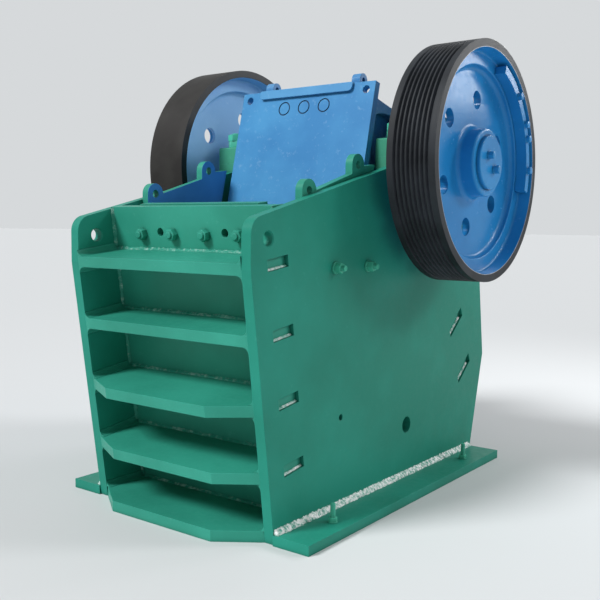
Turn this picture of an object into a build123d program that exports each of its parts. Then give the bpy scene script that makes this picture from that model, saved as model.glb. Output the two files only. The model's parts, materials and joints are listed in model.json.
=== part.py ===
from build123d import *
import os
from math import cos, radians, sin, tan

# Single-toggle jaw crusher, 600 mm by 900 mm feed size.
# X runs along the shaft, the ribbed front faces -Y, Z is up.
# The origin is at the middle of the foundation bolts, under the feet.

# Frame: side plates and feet
plate_thick = 50
foot_length = 1886
foot_width = 187
foot_thick = 45
bolt_inset = 105
bolt_span_y = 1300
bolt_hole_radius = 16.5

# Frame: outline of a side plate
front_tilt = 8.0
kink_y = -1096
kink_z = 1165
nose_height = 201
nose_radius = 75
top_rise = 14.2
seat_drop = 70
seat_tail = 40
notch_gap = 1
rear_shoulder_y = 1004
rear_shoulder_z = 1250
rear_kink_y = 1107
rear_kink_z = 583
rear_foot_y = 955

# Frame: holes in a side plate
lifting_hole_setback = 111
lifting_hole_rise = 125
lifting_hole_radius = 30
lifting_hole_chamfer = 5
key_hole_y = -441
key_hole_z = 461
key_hole_radius = 15
access_hole_y = 181
access_hole_z = 311
access_hole_radius = 43

# Front ribs and front wall
rib_thick = 50
rib_pitch = 296
slotted_rib_count = 4
straight_rib_count = 2
wall_setback = 240
wall_thick = 60
wall_top_rise = 260
tenon_start = 106
tenon_length = 139
tenon_recess = 20
tenon_gap = 0.5
knee_inset = 191
middle_rib_reach = 90
bottom_rib_reach = 135
front_hole_span = 400
front_hole_shift = 15
front_hole_drop = 118
front_hole_radius = 20

# Shaft and bearings
shaft_y = 343
shaft_z = 1670
wheel_seat_radius = 100
bearing_seat_radius = 130
jaw_seat_radius = 150
running_clearance = 0.05
bearing_width = 172
housing_half_length = 338
housing_radius = 262
housing_chamfer = 6
split_rise = 22
lug_thick = 92
cover_thick = 16
cover_radius = 205
cover_bore_gap = 2
cover_chamfer = 5

# Flywheels
wheel_radius = 600
wheel_width = 250
wheel_gap = 45
rim_thick = 40
rim_draft = 8
rim_fillet = 12
shoulder_height = 69
shoulder_step = 35
shoulder_fillet = 26
shoulder_edge = 6
web_width = 40
hub_radius = 170
hub_root_fillet = 26
hub_edge_fillet = 12
hub_reach = 16
hub_start_gap = 8
web_hole_inset = 158
web_hole_radius = 46
web_hole_count = 6
web_hole_angle = 22
groove_count = 8
groove_pitch = 24
groove_depth = 18
groove_top_width = 17
groove_bottom_width = 9
counterweight_recess = 10
counterweight_inset = 12
counterweight_gap = 3
counterweight_arc = 84
counterweight_angle = 28
cap_thick = 20
cap_inset = 36
cap_groove_width = 5
cap_groove_depth = 5
cap_chamfer = 4

# Swing jaw, set by its leaning front face and its place from the shaft
jaw_tilt = 13.2
guard_top_reach = 331
guard_top_rise = 401
guard_overhang = 4
guard_thick = 40
guard_length = 640
guard_hole_inset = 51
guard_hole_drop = 42
guard_hole_radius = 21
plug_pitch = 129
plug_drop = 105
plug_radius = 38
plug_count = 3
plug_groove_width = 7
plug_groove_depth = 4
bar_overhang = 17
bar_height = 46
bar_thick = 16
bar_corner = 22
jaw_side_gap = 14
jaw_length = 1850
jaw_face_thick = 90
jaw_top_drop = 78
jaw_head_radius = 305
jaw_brow_reach = 140
jaw_brow_rise = 276
jaw_rib_thick = 60
jaw_rib_count = 4
jaw_back_reach = 247
jaw_back_drop = 175
jaw_lug_inset = 143
jaw_lug_gap = 2
jaw_lug_rise = 22
jaw_lug_radius = 36
jaw_lug_hole = 14
jaw_lug_thick = 50
pocket_depth = 44
pocket_reach = 233
pocket_drop = 52
pocket_radius = 300
pocket_foot_drop = 110
pocket_wall = 10
boss_radius = 215
toe_height = 170
toe_root = 300

# Toothed jaw plates
jaw_plate_width = 900
jaw_plate_side_gap = 9.7
moving_plate_margin = 24
fixed_plate_length = 1110
fixed_plate_rise = 14
fixed_head_length = 50
fixed_head_inset = 81
jaw_plate_thick = 62
tooth_height = 38
tooth_count = 9
valley_flat = 8
crest_flat = 9
plate_joint_gap = 6
ledge_depth = 90
ledge_thick = 60

# Cheek plates that line the chamber
cheek_thick = 40
cheek_gap = 0.3
cheek_split_z = 900
cheek_split_gap = 4
cheek_foot_z = 380
cheek_front_drop = 25
cheek_front_rise = 4
cheek_rear_rise = 24
cheek_rear_y = -102
cheek_corner_rise = 27.5
lug_ring_radius = 52
lug_ring_hole = 20
front_lug_y = -640
front_lug_rise = 15.6
rear_lug_y = -248
rear_lug_rise = 53.4

# Rear wall, set behind the jaw's foot, its ribs and the toggle
rear_wall_setback = 1006
rear_wall_rise = 368
rear_tilt = 22.8
rear_wall_length = 560
rear_wall_thick = 50
rear_rib_pitch = 304
rear_rib_thick = 50
rear_rib_lift = 39
rear_rib_length = 230
rear_tenon_length = 180
rear_rib_levels = (0.5, -0.5)
toggle_span = 430
toggle_thick = 60
toggle_side_gap = 20
toggle_end_radius = 45
toggle_gap = 0.3
toggle_sink = 18
seat_depth = 90
seat_side_gap = 120
seat_height = 180

# Tension rod and spring, hung under the toe of the swing jaw
rod_setback = 29
rod_drop = 48
rod_radius = 25
rod_tail = 75
rod_pin_radius = 24
pin_lug_thick = 50
pin_lug_gap = 5
pin_overhang = 12
eye_radius = 46
eye_width = 70
spring_radius = 68
spring_wire = 11
spring_turns = 6
spring_length = 230
spring_gap = 0.3
beam_y = 880
beam_thick = 40
beam_height = 180
beam_hole_radius = 52
washer_radius = 85
washer_thick = 22
nut_radius = 38
nut_thick = 40

# Across the machine: the toothed plates, the liners beside them and the plates outside
plate_in = jaw_plate_width / 2 + jaw_plate_side_gap + cheek_thick + cheek_gap
plate_out = plate_in + plate_thick
chamber_width = 2 * plate_in
cheek_in = plate_in - cheek_gap - cheek_thick
bolt_span_x = 2 * (plate_out + bolt_inset)
knee_half_width = plate_in - knee_inset
seat_width = chamber_width - 2 * seat_side_gap
toggle_width = seat_width - 2 * toggle_side_gap
housing_in = plate_in + plate_thick / 2 - bearing_width / 2
housing_out = housing_in + bearing_width
cover_out = housing_out + cover_thick
jaw_half = housing_in - jaw_side_gap
jaw_width = 2 * jaw_half
jaw_lug_span = jaw_width - 2 * jaw_lug_inset
guard_width = jaw_width + 2 * guard_overhang
guard_hole_span = guard_width - 2 * guard_hole_inset
bar_length = jaw_lug_span + 2 * bar_overhang
wheel_in = housing_out + wheel_gap
wheel_out = wheel_in + wheel_width
wheel_mid = (wheel_in + wheel_out) / 2
hub_in = cover_out + hub_start_gap
hub_out = wheel_out - hub_reach

# Round the shaft
rim_in = wheel_radius - rim_thick
rim_foot = rim_in - rim_draft
shoulder_radius = rim_foot - shoulder_height
shoulder_width = web_width + 2 * shoulder_step
shoulder_root = min(shoulder_fillet, 0.9 * (shoulder_step - shoulder_edge))
web_hole_circle = shoulder_radius - web_hole_inset
cap_radius = hub_radius - cap_inset
counterweight_thick = (wheel_width - shoulder_width) / 2 - counterweight_recess
counterweight_inner = shoulder_radius + counterweight_inset
counterweight_outer = rim_foot - rim_fillet - counterweight_gap

# Heights and places along the machine
front_foot_y = kink_y + kink_z * tan(radians(front_tilt))
nose_z = kink_z + nose_height
wall_top_z = kink_z + wall_top_rise
wall_back = -wall_setback - wall_thick
cheek_front_z = wall_top_z - cheek_front_drop
tenon_reach = plate_thick - tenon_recess
split_z = shaft_z + split_rise
seat_z = shaft_z - seat_drop
seat_front_y = shaft_y - housing_half_length
seat_rear_y = shaft_y + housing_half_length + seat_tail
jaw_slab_back = -guard_thick - jaw_face_thick
moving_plate_length = jaw_length - guard_length - plate_joint_gap - moving_plate_margin
toggle_socket = toggle_end_radius + toggle_gap - toggle_sink
toe_out = rear_wall_thick + seat_depth + toggle_span + 2 * toggle_socket


def side_section(offset=0.0):
    """A sketch plane across the machine at X = offset, with Y across and Z up."""
    return Plane(origin=(offset, 0, 0), x_dir=(0, 1, 0), z_dir=(1, 0, 0))


def from_plane(plane, up, out):
    """The (Y, Z) of a point that lies up the plane's slope and out along its normal."""
    point = plane.from_local_coords((0, up, out))
    return (point.Y, point.Z)


def up_at(plane, height, out):
    """How far up the plane's slope a point lies that has this height and stands this far out."""
    return (height - plane.origin.Z - out * plane.z_dir.Z) / plane.y_dir.Z


def layer_x(side, start, thick):
    """Lowest X of a layer that starts at this distance from the middle and is thick outwards."""
    return start if side > 0 else -start - thick


def top_edge_z(y):
    """Height of the side plate's sloping top edge."""
    return nose_z + (y - kink_y) * tan(radians(top_rise))


def write(block, name):
    """Label the finished piece and write its file."""
    block.part.label = name
    export_step(block.part, f"parts/{name}.step")


# The leaning planes: the front, the jaw's face, and the rear wall that stands behind the jaw
front_plane = Plane(
    origin=(0, kink_y, kink_z),
    x_dir=(1, 0, 0),
    z_dir=(0, -cos(radians(front_tilt)), -sin(radians(front_tilt))),
)
jaw_plane = Plane(
    origin=(0, shaft_y - guard_top_reach, shaft_z + guard_top_rise),
    x_dir=(1, 0, 0),
    z_dir=(0, -cos(radians(jaw_tilt)), sin(radians(jaw_tilt))),
)
jaw_foot_y, jaw_foot_z = from_plane(jaw_plane, -jaw_length, jaw_slab_back)
rear_plane = Plane(
    origin=(0, jaw_foot_y + rear_wall_setback, jaw_foot_z + rear_wall_rise),
    x_dir=(1, 0, 0),
    z_dir=(0, -cos(radians(rear_tilt)), -sin(radians(rear_tilt))),
)
shaft_plane = Plane(origin=(0, shaft_y, shaft_z), x_dir=(1, 0, 0), z_dir=(0, -1, 0))
shaft_axis = Axis((0, shaft_y, shaft_z), (1, 0, 0))

# What hangs on those planes
front_lug_z = top_edge_z(front_lug_y) + front_lug_rise
rear_lug_z = top_edge_z(rear_lug_y) + rear_lug_rise
cheek_rear_z = top_edge_z(cheek_rear_y) + cheek_corner_rise
toe_low_y, toe_low_z = from_plane(rear_plane, -toe_height / 2, toe_out)
rod_y = toe_low_y - rod_setback
rod_z = toe_low_z - rod_drop
spring_end = beam_y + beam_thick + 2 * spring_gap + spring_length
rod_end = spring_end + washer_thick + nut_thick + rod_tail


# The welded frame


def rear_rib_outline(level, length, grow):
    """Corners of a rear rib that leaves the rear wall's back and rises, in Y and Z."""
    middle = level * rear_rib_pitch
    half = rear_rib_thick / 2 / cos(radians(rear_rib_lift - rear_tilt)) + grow
    reach_y = (length + grow) * cos(radians(rear_rib_lift))
    reach_z = (length + grow) * sin(radians(rear_rib_lift))
    low_y, low_z = from_plane(rear_plane, middle - half, 0)
    high_y, high_z = from_plane(rear_plane, middle + half, 0)
    return [
        (low_y, low_z),
        (low_y + reach_y, low_z + reach_z),
        (high_y + reach_y, high_z + reach_z),
        (high_y, high_z),
    ]


def side_plate(side):
    """One big side plate: leaning front, notch for the bearing and slots for the ribs."""
    with BuildPart() as plate:
        with BuildSketch(side_section(layer_x(side, plate_in, plate_thick))) as outline:
            Polygon(
                (front_foot_y, 0),
                (kink_y, kink_z),
                (kink_y, nose_z),
                (seat_front_y, top_edge_z(seat_front_y)),
                (seat_front_y, seat_z),
                (seat_rear_y, seat_z),
                (rear_shoulder_y, rear_shoulder_z),
                (rear_kink_y, rear_kink_z),
                (rear_foot_y, 0),
            )
            nose = outline.vertices().sort_by(Axis.X)[:2].sort_by(Axis.Y)[-1]
            fillet(nose, radius=nose_radius)
            with Locations((shaft_y, shaft_z)):
                Circle(housing_radius + notch_gap, mode=Mode.SUBTRACT)
            with Locations((kink_y + lifting_hole_setback, kink_z + lifting_hole_rise)):
                Circle(lifting_hole_radius, mode=Mode.SUBTRACT)
            with Locations((key_hole_y, key_hole_z)):
                Circle(key_hole_radius, mode=Mode.SUBTRACT)
            with Locations((access_hole_y, access_hole_z)):
                Circle(access_hole_radius, mode=Mode.SUBTRACT)
            for index in range(slotted_rib_count):
                out = -tenon_start - tenon_length / 2
                slot_y, slot_z = from_plane(front_plane, -index * rib_pitch, out)
                with Locations(Location((slot_y, slot_z, 0), (0, 0, front_tilt))):
                    Rectangle(
                        tenon_length + 2 * tenon_gap,
                        rib_thick + 2 * tenon_gap,
                        mode=Mode.SUBTRACT,
                    )
            for level in rear_rib_levels:
                Polygon(*rear_rib_outline(level, rear_tenon_length, tenon_gap), mode=Mode.SUBTRACT)
        extrude(amount=plate_thick)
        lifting_bore = plate.faces().filter_by(GeomType.CYLINDER).sort_by(Axis.Y)[1]
        chamfer(lifting_bore.edges().filter_by(GeomType.CIRCLE), lifting_hole_chamfer)
    return plate


def base_flange(side):
    """A foot welded along the bottom of a side plate, drilled for two foundation bolts."""
    with BuildPart() as flange:
        with BuildSketch(Plane.XY):
            with Locations((side * (plate_out + foot_width / 2), 0)):
                Rectangle(foot_width, foot_length)
            with Locations((side * bolt_span_x / 2, 0)):
                with GridLocations(0, bolt_span_y, 1, 2):
                    Circle(bolt_hole_radius, mode=Mode.SUBTRACT)
        extrude(amount=foot_thick)
    return flange


def front_wall():
    """The leaning wall behind the ribs, with two open holes above the top rib."""
    top = up_at(front_plane, wall_top_z, -wall_setback)
    foot = up_at(front_plane, rib_thick, -wall_setback)
    hole = up_at(front_plane, wall_top_z - front_hole_drop, -wall_setback)
    with BuildPart() as wall:
        with BuildSketch(front_plane.offset(-wall_setback)):
            with Locations((0, (top + foot) / 2)):
                Rectangle(chamber_width, top - foot)
            with Locations((front_hole_shift, hole)):
                with GridLocations(front_hole_span, 0, 2, 1):
                    Circle(front_hole_radius, mode=Mode.SUBTRACT)
        extrude(amount=-wall_thick)
    return wall


def front_rib(index):
    """A rib across the front, square to the leaning edge, with a tenon into each plate."""
    reach = middle_rib_reach if index >= straight_rib_count else 0
    level = -index * rib_pitch - rib_thick / 2
    rib_plane = Plane(
        origin=front_plane.from_local_coords((0, level, 0)),
        x_dir=(1, 0, 0),
        z_dir=front_plane.y_dir,
    )
    with BuildPart() as rib:
        with BuildSketch(rib_plane):
            with Locations((0, wall_setback / 2)):
                Rectangle(chamber_width, wall_setback)
            if reach:
                Polygon(
                    (-plate_in, 0),
                    (-knee_half_width, -reach),
                    (knee_half_width, -reach),
                    (plate_in, 0),
                )
            with Locations((0, tenon_start + tenon_length / 2)):
                with GridLocations(2 * plate_in + tenon_reach, 0, 2, 1):
                    Rectangle(tenon_reach, tenon_length)
        extrude(amount=rib_thick)
    return rib


def bottom_rib():
    """The level rib at the foot of the front, that juts out furthest and carries the wall."""
    back_y = from_plane(front_plane, up_at(front_plane, 0, wall_back), wall_back)[0]
    with BuildPart() as rib:
        with BuildSketch(Plane.XY):
            Polygon(
                (-plate_in, back_y),
                (plate_in, back_y),
                (plate_in, front_foot_y),
                (knee_half_width, front_foot_y - bottom_rib_reach),
                (-knee_half_width, front_foot_y - bottom_rib_reach),
                (-plate_in, front_foot_y),
            )
        extrude(amount=rib_thick)
    return rib


def rear_wall():
    """The leaning wall that takes the push of the toggle plate."""
    with BuildPart() as wall:
        with BuildSketch(rear_plane):
            Rectangle(chamber_width, rear_wall_length)
        extrude(amount=rear_wall_thick)
    return wall


def rear_rib(level):
    """A rib behind the rear wall that rises to the back, with a tenon into each plate."""
    with BuildPart() as rib:
        with BuildSketch(side_section()):
            Polygon(*rear_rib_outline(level, rear_rib_length, 0))
        extrude(amount=plate_in, both=True)
        with BuildSketch(side_section()):
            Polygon(*rear_rib_outline(level, rear_tenon_length, 0))
        extrude(amount=plate_in + tenon_reach, both=True)
    return rib


def rear_beam():
    """The cross plate low at the back, with the hole that the tension rod runs through."""
    with BuildPart() as beam:
        with BuildSketch(Plane.XZ.offset(-beam_y)):
            with Locations((0, rod_z)):
                Rectangle(chamber_width, beam_height)
                Circle(beam_hole_radius, mode=Mode.SUBTRACT)
        extrude(amount=-beam_thick)
    return beam


# The liners of the crushing chamber


def tooth_points():
    """Cross-section of a toothed plate: flat back and a row of blunt ridges."""
    pitch = jaw_plate_width / tooth_count
    points = [(-jaw_plate_width / 2, 0), (jaw_plate_width / 2, 0)]
    for index in range(tooth_count):
        right = jaw_plate_width / 2 - index * pitch
        middle = right - pitch / 2
        if index == 0:
            points.append((right, jaw_plate_thick))
        points.append((right - valley_flat, jaw_plate_thick))
        points.append((middle + crest_flat, jaw_plate_thick + tooth_height))
        points.append((middle - crest_flat, jaw_plate_thick + tooth_height))
        points.append((right - pitch + valley_flat, jaw_plate_thick))
    points.append((-jaw_plate_width / 2, jaw_plate_thick))
    return points


def toothed_plate(base_plane, length, head_length=0):
    """A jaw plate that hangs down from base_plane, with ridges on the side of its normal."""
    section = Plane(origin=base_plane.origin, x_dir=base_plane.x_dir, z_dir=-base_plane.y_dir)
    with BuildPart() as plate:
        with BuildSketch(section.offset(head_length)):
            Polygon(*tooth_points())
        extrude(amount=length - head_length)
        if head_length:
            with BuildSketch(section):
                Rectangle(
                    jaw_plate_width - 2 * fixed_head_inset,
                    jaw_plate_thick,
                    align=(Align.CENTER, Align.MIN),
                )
            extrude(amount=head_length)
    return plate


def fixed_jaw_plate():
    """The toothed plate on the back of the front wall."""
    top = up_at(front_plane, wall_top_z + fixed_plate_rise, wall_back)
    base_plane = Plane(
        origin=front_plane.from_local_coords((0, top, wall_back)),
        x_dir=(-1, 0, 0),
        z_dir=-front_plane.z_dir,
    )
    return toothed_plate(base_plane, fixed_plate_length, fixed_head_length)


def fixed_jaw_ledge():
    """The bar on the front wall that the fixed jaw plate stands on."""
    top = up_at(front_plane, wall_top_z + fixed_plate_rise, wall_back) - fixed_plate_length
    with BuildPart() as ledge:
        with BuildSketch(front_plane.offset(wall_back)):
            with Locations((0, top - ledge_thick / 2)):
                Rectangle(jaw_plate_width, ledge_thick)
        extrude(amount=-ledge_depth)
    return ledge


def cheek_edge(height):
    """The front and rear Y of the cheek plates at this height."""
    out = wall_back - cheek_gap
    front_y = from_plane(front_plane, up_at(front_plane, height, out), out)[0]
    rear_y = cheek_rear_y - (cheek_rear_z - height) * tan(radians(jaw_tilt))
    return front_y, rear_y


def cheek_plate_upper(side):
    """The upper side liner, with two lifting rings on its sloping top edge."""
    lug_centres = [(front_lug_y, front_lug_z), (rear_lug_y, rear_lug_z)]
    split_front_y, split_rear_y = cheek_edge(cheek_split_z)
    with BuildPart() as cheek:
        with BuildSketch(side_section(layer_x(side, cheek_in, cheek_thick))):
            Polygon(
                (split_front_y, cheek_split_z),
                (cheek_edge(cheek_front_z)[0], cheek_front_z),
                (front_lug_y, cheek_front_z),
                (front_lug_y, top_edge_z(front_lug_y) + cheek_front_rise),
                (rear_lug_y, top_edge_z(rear_lug_y) + cheek_rear_rise),
                (rear_lug_y, cheek_rear_z - lug_ring_hole),
                (cheek_rear_y, cheek_rear_z),
                (split_rear_y, cheek_split_z),
            )
            for centre in lug_centres:
                with Locations(centre):
                    Circle(lug_ring_radius)
                    Rectangle(
                        2 * lug_ring_radius,
                        2 * lug_ring_radius,
                        align=(Align.CENTER, Align.MAX),
                    )
            for centre in lug_centres:
                with Locations(centre):
                    Circle(lug_ring_hole, mode=Mode.SUBTRACT)
        extrude(amount=cheek_thick)
    return cheek


def cheek_plate_lower(side):
    """The lower side liner, under the upper one."""
    top_z = cheek_split_z - cheek_split_gap
    front_top, rear_top = cheek_edge(top_z)
    front_foot, rear_foot = cheek_edge(cheek_foot_z)
    with BuildPart() as cheek:
        with BuildSketch(side_section(layer_x(side, cheek_in, cheek_thick))):
            Polygon(
                (front_foot, cheek_foot_z),
                (front_top, top_z),
                (rear_top, top_z),
                (rear_foot, cheek_foot_z),
            )
        extrude(amount=cheek_thick)
    return cheek


# The toggle


def toggle_circle(end):
    """The (Y, Z) of the middle of the toggle's round end: 0 is at the wall, 1 at the jaw."""
    return from_plane(rear_plane, 0, rear_wall_thick + seat_depth + toggle_socket + end * toggle_span)


def toggle_seat():
    """The block on the rear wall with the hollow that the toggle plate turns in."""
    with BuildPart() as seat:
        with BuildSketch(rear_plane.offset(rear_wall_thick)):
            Rectangle(seat_width, seat_height)
        extrude(amount=seat_depth)
        with BuildSketch(side_section()):
            with Locations(toggle_circle(0)):
                Circle(toggle_end_radius + toggle_gap)
        extrude(amount=plate_in, both=True, mode=Mode.SUBTRACT)
    return seat


def toggle_plate():
    """The plate with round ends between the rear wall and the foot of the swing jaw."""
    wall_end = toggle_circle(0)
    jaw_end = toggle_circle(1)
    middle = ((wall_end[0] + jaw_end[0]) / 2, (wall_end[1] + jaw_end[1]) / 2, 0)
    with BuildPart() as toggle:
        with BuildSketch(side_section()):
            with Locations(Location(middle, (0, 0, rear_tilt))):
                Rectangle(toggle_span, toggle_thick)
            with Locations(wall_end, jaw_end):
                Circle(toggle_end_radius)
        extrude(amount=toggle_width / 2, both=True)
    return toggle


# The bearings and the rotor


def bearing_half(side, above):
    """Half of a bearing housing: round, split level, with a thick lug at each end."""
    keep = Align.MIN if above else Align.MAX
    lug_height = lug_thick if above else split_z - seat_z
    with BuildPart() as half:
        with BuildSketch(side_section(layer_x(side, housing_in, bearing_width))):
            with Locations((shaft_y, shaft_z)):
                Circle(housing_radius)
            with Locations((shaft_y, split_z)):
                Rectangle(
                    2 * housing_radius,
                    2 * housing_radius,
                    align=(Align.CENTER, keep),
                    mode=Mode.INTERSECT,
                )
                Rectangle(2 * housing_half_length, lug_height, align=(Align.CENTER, keep))
            with Locations((shaft_y, shaft_z)):
                Circle(bearing_seat_radius + running_clearance, mode=Mode.SUBTRACT)
        extrude(amount=bearing_width)
        if above:
            tops = half.faces().filter_by(Axis.Z).sort_by(Axis.Z)[-2:]
            edges = tops.edges().filter_by(Axis.X).sort_by(Axis.Y)
            chamfer([edges[0], edges[-1]], housing_chamfer)
    return half


def bearing_cover(side):
    """The ring bolted over the outer face of a bearing housing."""
    with BuildPart() as cover:
        with BuildSketch(side_section(layer_x(side, housing_out, cover_thick))):
            with Locations((shaft_y, shaft_z)):
                Circle(cover_radius)
                Circle(bearing_seat_radius + cover_bore_gap, mode=Mode.SUBTRACT)
        extrude(amount=cover_thick)
        outer_face = cover.faces().sort_by(Axis.X)[-1 if side > 0 else 0]
        chamfer(outer_face.outer_wire().edges(), cover_chamfer)
    return cover


def eccentric_shaft():
    """The stepped shaft that carries the swing jaw and both flywheels."""
    half = [
        (jaw_half, jaw_seat_radius),
        (jaw_half, bearing_seat_radius),
        (cover_out, bearing_seat_radius),
        (cover_out, wheel_seat_radius),
        (hub_out, wheel_seat_radius),
        (hub_out, 0),
    ]
    with BuildPart() as shaft:
        with BuildSketch(shaft_plane):
            Polygon(*half, *[(-x, radius) for x, radius in reversed(half)])
        revolve(axis=shaft_axis)
    return shaft


def wheel_outline(end, start):
    """Corners of the wheel's section on one side of its middle, from the bore to the tread.

    end is the X of the hub's end there and start the X of the rim's edge.
    """
    sign = 1 if end > wheel_mid else -1
    web_face = wheel_mid + sign * web_width / 2
    shoulder_face = wheel_mid + sign * shoulder_width / 2
    return [
        (end, wheel_seat_radius + running_clearance),
        (end, hub_radius),
        (web_face, hub_radius),
        (web_face, shoulder_radius),
        (shoulder_face, shoulder_radius),
        (shoulder_face, rim_foot),
        (start, rim_in),
        (start, wheel_radius),
    ]


def wheel_fillets(corners):
    """The radius of each corner of wheel_outline that is rounded, with its place."""
    radii = [
        hub_edge_fillet,
        hub_root_fillet,
        shoulder_root,
        shoulder_edge,
        rim_fillet,
    ]
    return zip(corners[1:], radii)


def flywheel(side):
    """A cast flywheel with six lightening holes; the right one has V-belt grooves."""
    outer = wheel_outline(hub_out, wheel_out)
    inner = wheel_outline(hub_in, wheel_in)
    with BuildPart() as wheel:
        with BuildSketch(shaft_plane) as section:
            Polygon(*[(side * x, radius) for x, radius in outer + inner[::-1]])
            for corners in (outer, inner):
                for (x, radius), round_radius in wheel_fillets(corners):
                    corner = section.vertices().sort_by_distance((side * x, radius, 0))[0]
                    fillet(corner, radius=round_radius)
            with Locations((side * hub_out, cap_radius + cap_groove_width / 2)):
                Rectangle(2 * cap_groove_depth, cap_groove_width, mode=Mode.SUBTRACT)
            if side > 0:
                for index in range(groove_count):
                    middle = wheel_mid + (index - (groove_count - 1) / 2) * groove_pitch
                    Polygon(
                        (middle - groove_bottom_width / 2, wheel_radius - groove_depth),
                        (middle + groove_bottom_width / 2, wheel_radius - groove_depth),
                        (middle + groove_top_width / 2, wheel_radius),
                        (middle - groove_top_width / 2, wheel_radius),
                        mode=Mode.SUBTRACT,
                    )
        revolve(axis=shaft_axis)
        with BuildSketch(side_section(side * wheel_mid)):
            with Locations((shaft_y, shaft_z)):
                with PolarLocations(web_hole_circle, web_hole_count, web_hole_angle):
                    Circle(web_hole_radius)
        extrude(amount=web_width, both=True, mode=Mode.SUBTRACT)
    return wheel


def counterweight(side):
    """The curved balance weight bolted on the shoulder inside a flywheel's rim."""
    start = wheel_mid + shoulder_width / 2
    first = counterweight_angle - counterweight_arc / 2
    arc = (first, counterweight_arc)
    with BuildPart() as weight:
        with BuildSketch(side_section(layer_x(side, start, counterweight_thick))):
            with BuildLine():
                outer_arc = CenterArc((shaft_y, shaft_z), counterweight_outer, *arc)
                inner_arc = CenterArc((shaft_y, shaft_z), counterweight_inner, *arc)
                Line(outer_arc @ 0, inner_arc @ 0)
                Line(outer_arc @ 1, inner_arc @ 1)
            make_face()
        extrude(amount=counterweight_thick)
    return weight


def shaft_cap(side):
    """The disc bolted over the end of the shaft."""
    with BuildPart() as cap:
        with BuildSketch(side_section(layer_x(side, hub_out, cap_thick))):
            with Locations((shaft_y, shaft_z)):
                Circle(cap_radius)
        extrude(amount=cap_thick)
        outer_face = cap.faces().sort_by(Axis.X)[-1 if side > 0 else 0]
        chamfer(outer_face.edges(), cap_chamfer)
    return cap


# The swing jaw and what rides on it


def swing_jaw():
    """The jaw casting: head round the shaft, face slab, ribs behind and the toe."""
    toe_high = from_plane(rear_plane, toe_height / 2, toe_out)
    toe_low = (toe_low_y, toe_low_z)
    brow = (shaft_y - jaw_brow_reach, shaft_z + jaw_brow_rise)
    toe_slab = from_plane(jaw_plane, toe_root - jaw_length, jaw_slab_back)
    lug_root = from_plane(rear_plane, eye_radius - toe_height / 2, toe_out + 2 * eye_radius)
    slab_top = from_plane(jaw_plane, -guard_length, jaw_slab_back)
    slab_foot = (jaw_foot_y, jaw_foot_z)
    face_top = from_plane(jaw_plane, -jaw_top_drop, -guard_thick)
    face_foot = from_plane(jaw_plane, -jaw_length, -guard_thick)
    lug_y = from_plane(jaw_plane, 0, -guard_thick)[0] + jaw_lug_radius + jaw_lug_gap
    lug_z = jaw_plane.origin.Z + jaw_lug_rise
    rib_pitch_x = (jaw_width - jaw_rib_thick) / (jaw_rib_count - 1)
    pocket_front = -guard_thick - pocket_wall
    pocket_foot_z = shaft_z - pocket_foot_drop
    with BuildPart() as jaw:
        with BuildSketch(side_section()):
            with Locations((shaft_y, shaft_z)):
                Circle(jaw_head_radius)
            Polygon(
                face_top,
                brow,
                (shaft_y, shaft_z),
                slab_top,
                slab_foot,
                face_foot,
            )
            Polygon(slab_foot, toe_slab, toe_high, toe_low)
        extrude(amount=jaw_half, both=True)
        for index in range(jaw_rib_count):
            middle = (index - (jaw_rib_count - 1) / 2) * rib_pitch_x
            with BuildSketch(side_section(middle)):
                Polygon(
                    (shaft_y, shaft_z),
                    (shaft_y + jaw_back_reach, shaft_z - jaw_back_drop),
                    toe_high,
                    slab_foot,
                    slab_top,
                )
            extrude(amount=jaw_rib_thick / 2, both=True)
        with BuildSketch(side_section()):
            with Locations((rod_y, rod_z)):
                Circle(eye_radius + pin_lug_gap)
        extrude(amount=eye_width / 2 + pin_lug_gap, both=True, mode=Mode.SUBTRACT)
        for hand in (1, -1):
            with BuildSketch(side_section(layer_x(hand, eye_width / 2 + pin_lug_gap, pin_lug_thick))):
                Polygon(
                    (rod_y - eye_radius, rod_z),
                    (rod_y + eye_radius, rod_z),
                    toe_low,
                    lug_root,
                )
                with Locations((rod_y, rod_z)):
                    Circle(eye_radius)
            extrude(amount=pin_lug_thick)
        for hand in (1, -1):
            with BuildSketch(side_section(hand * jaw_lug_span / 2)):
                with Locations((lug_y, lug_z)):
                    Circle(jaw_lug_radius)
                    Rectangle(
                        2 * jaw_lug_radius,
                        lug_z - brow[1],
                        align=(Align.CENTER, Align.MAX),
                    )
                    Circle(jaw_lug_hole, mode=Mode.SUBTRACT)
            extrude(amount=jaw_lug_thick / 2, both=True)
        for hand in (1, -1):
            with BuildSketch(side_section(layer_x(hand, jaw_half - pocket_depth, pocket_depth))):
                with Locations((shaft_y - pocket_reach, shaft_z - pocket_drop)):
                    Circle(pocket_radius)
                Polygon(
                    from_plane(jaw_plane, 0, pocket_front),
                    from_plane(jaw_plane, up_at(jaw_plane, pocket_foot_z, pocket_front), pocket_front),
                    (shaft_y, pocket_foot_z),
                    (shaft_y, jaw_plane.origin.Z),
                    mode=Mode.INTERSECT,
                )
                with Locations((shaft_y, shaft_z)):
                    Circle(boss_radius, mode=Mode.SUBTRACT)
            extrude(amount=pocket_depth, mode=Mode.SUBTRACT)
        with BuildSketch(side_section()):
            with Locations((shaft_y, shaft_z)):
                Circle(jaw_seat_radius + running_clearance)
            with Locations((rod_y, rod_z)):
                Circle(rod_pin_radius + running_clearance)
            with Locations(toggle_circle(1)):
                Circle(toggle_end_radius + toggle_gap)
        extrude(amount=plate_in, both=True, mode=Mode.SUBTRACT)
    return jaw


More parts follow.
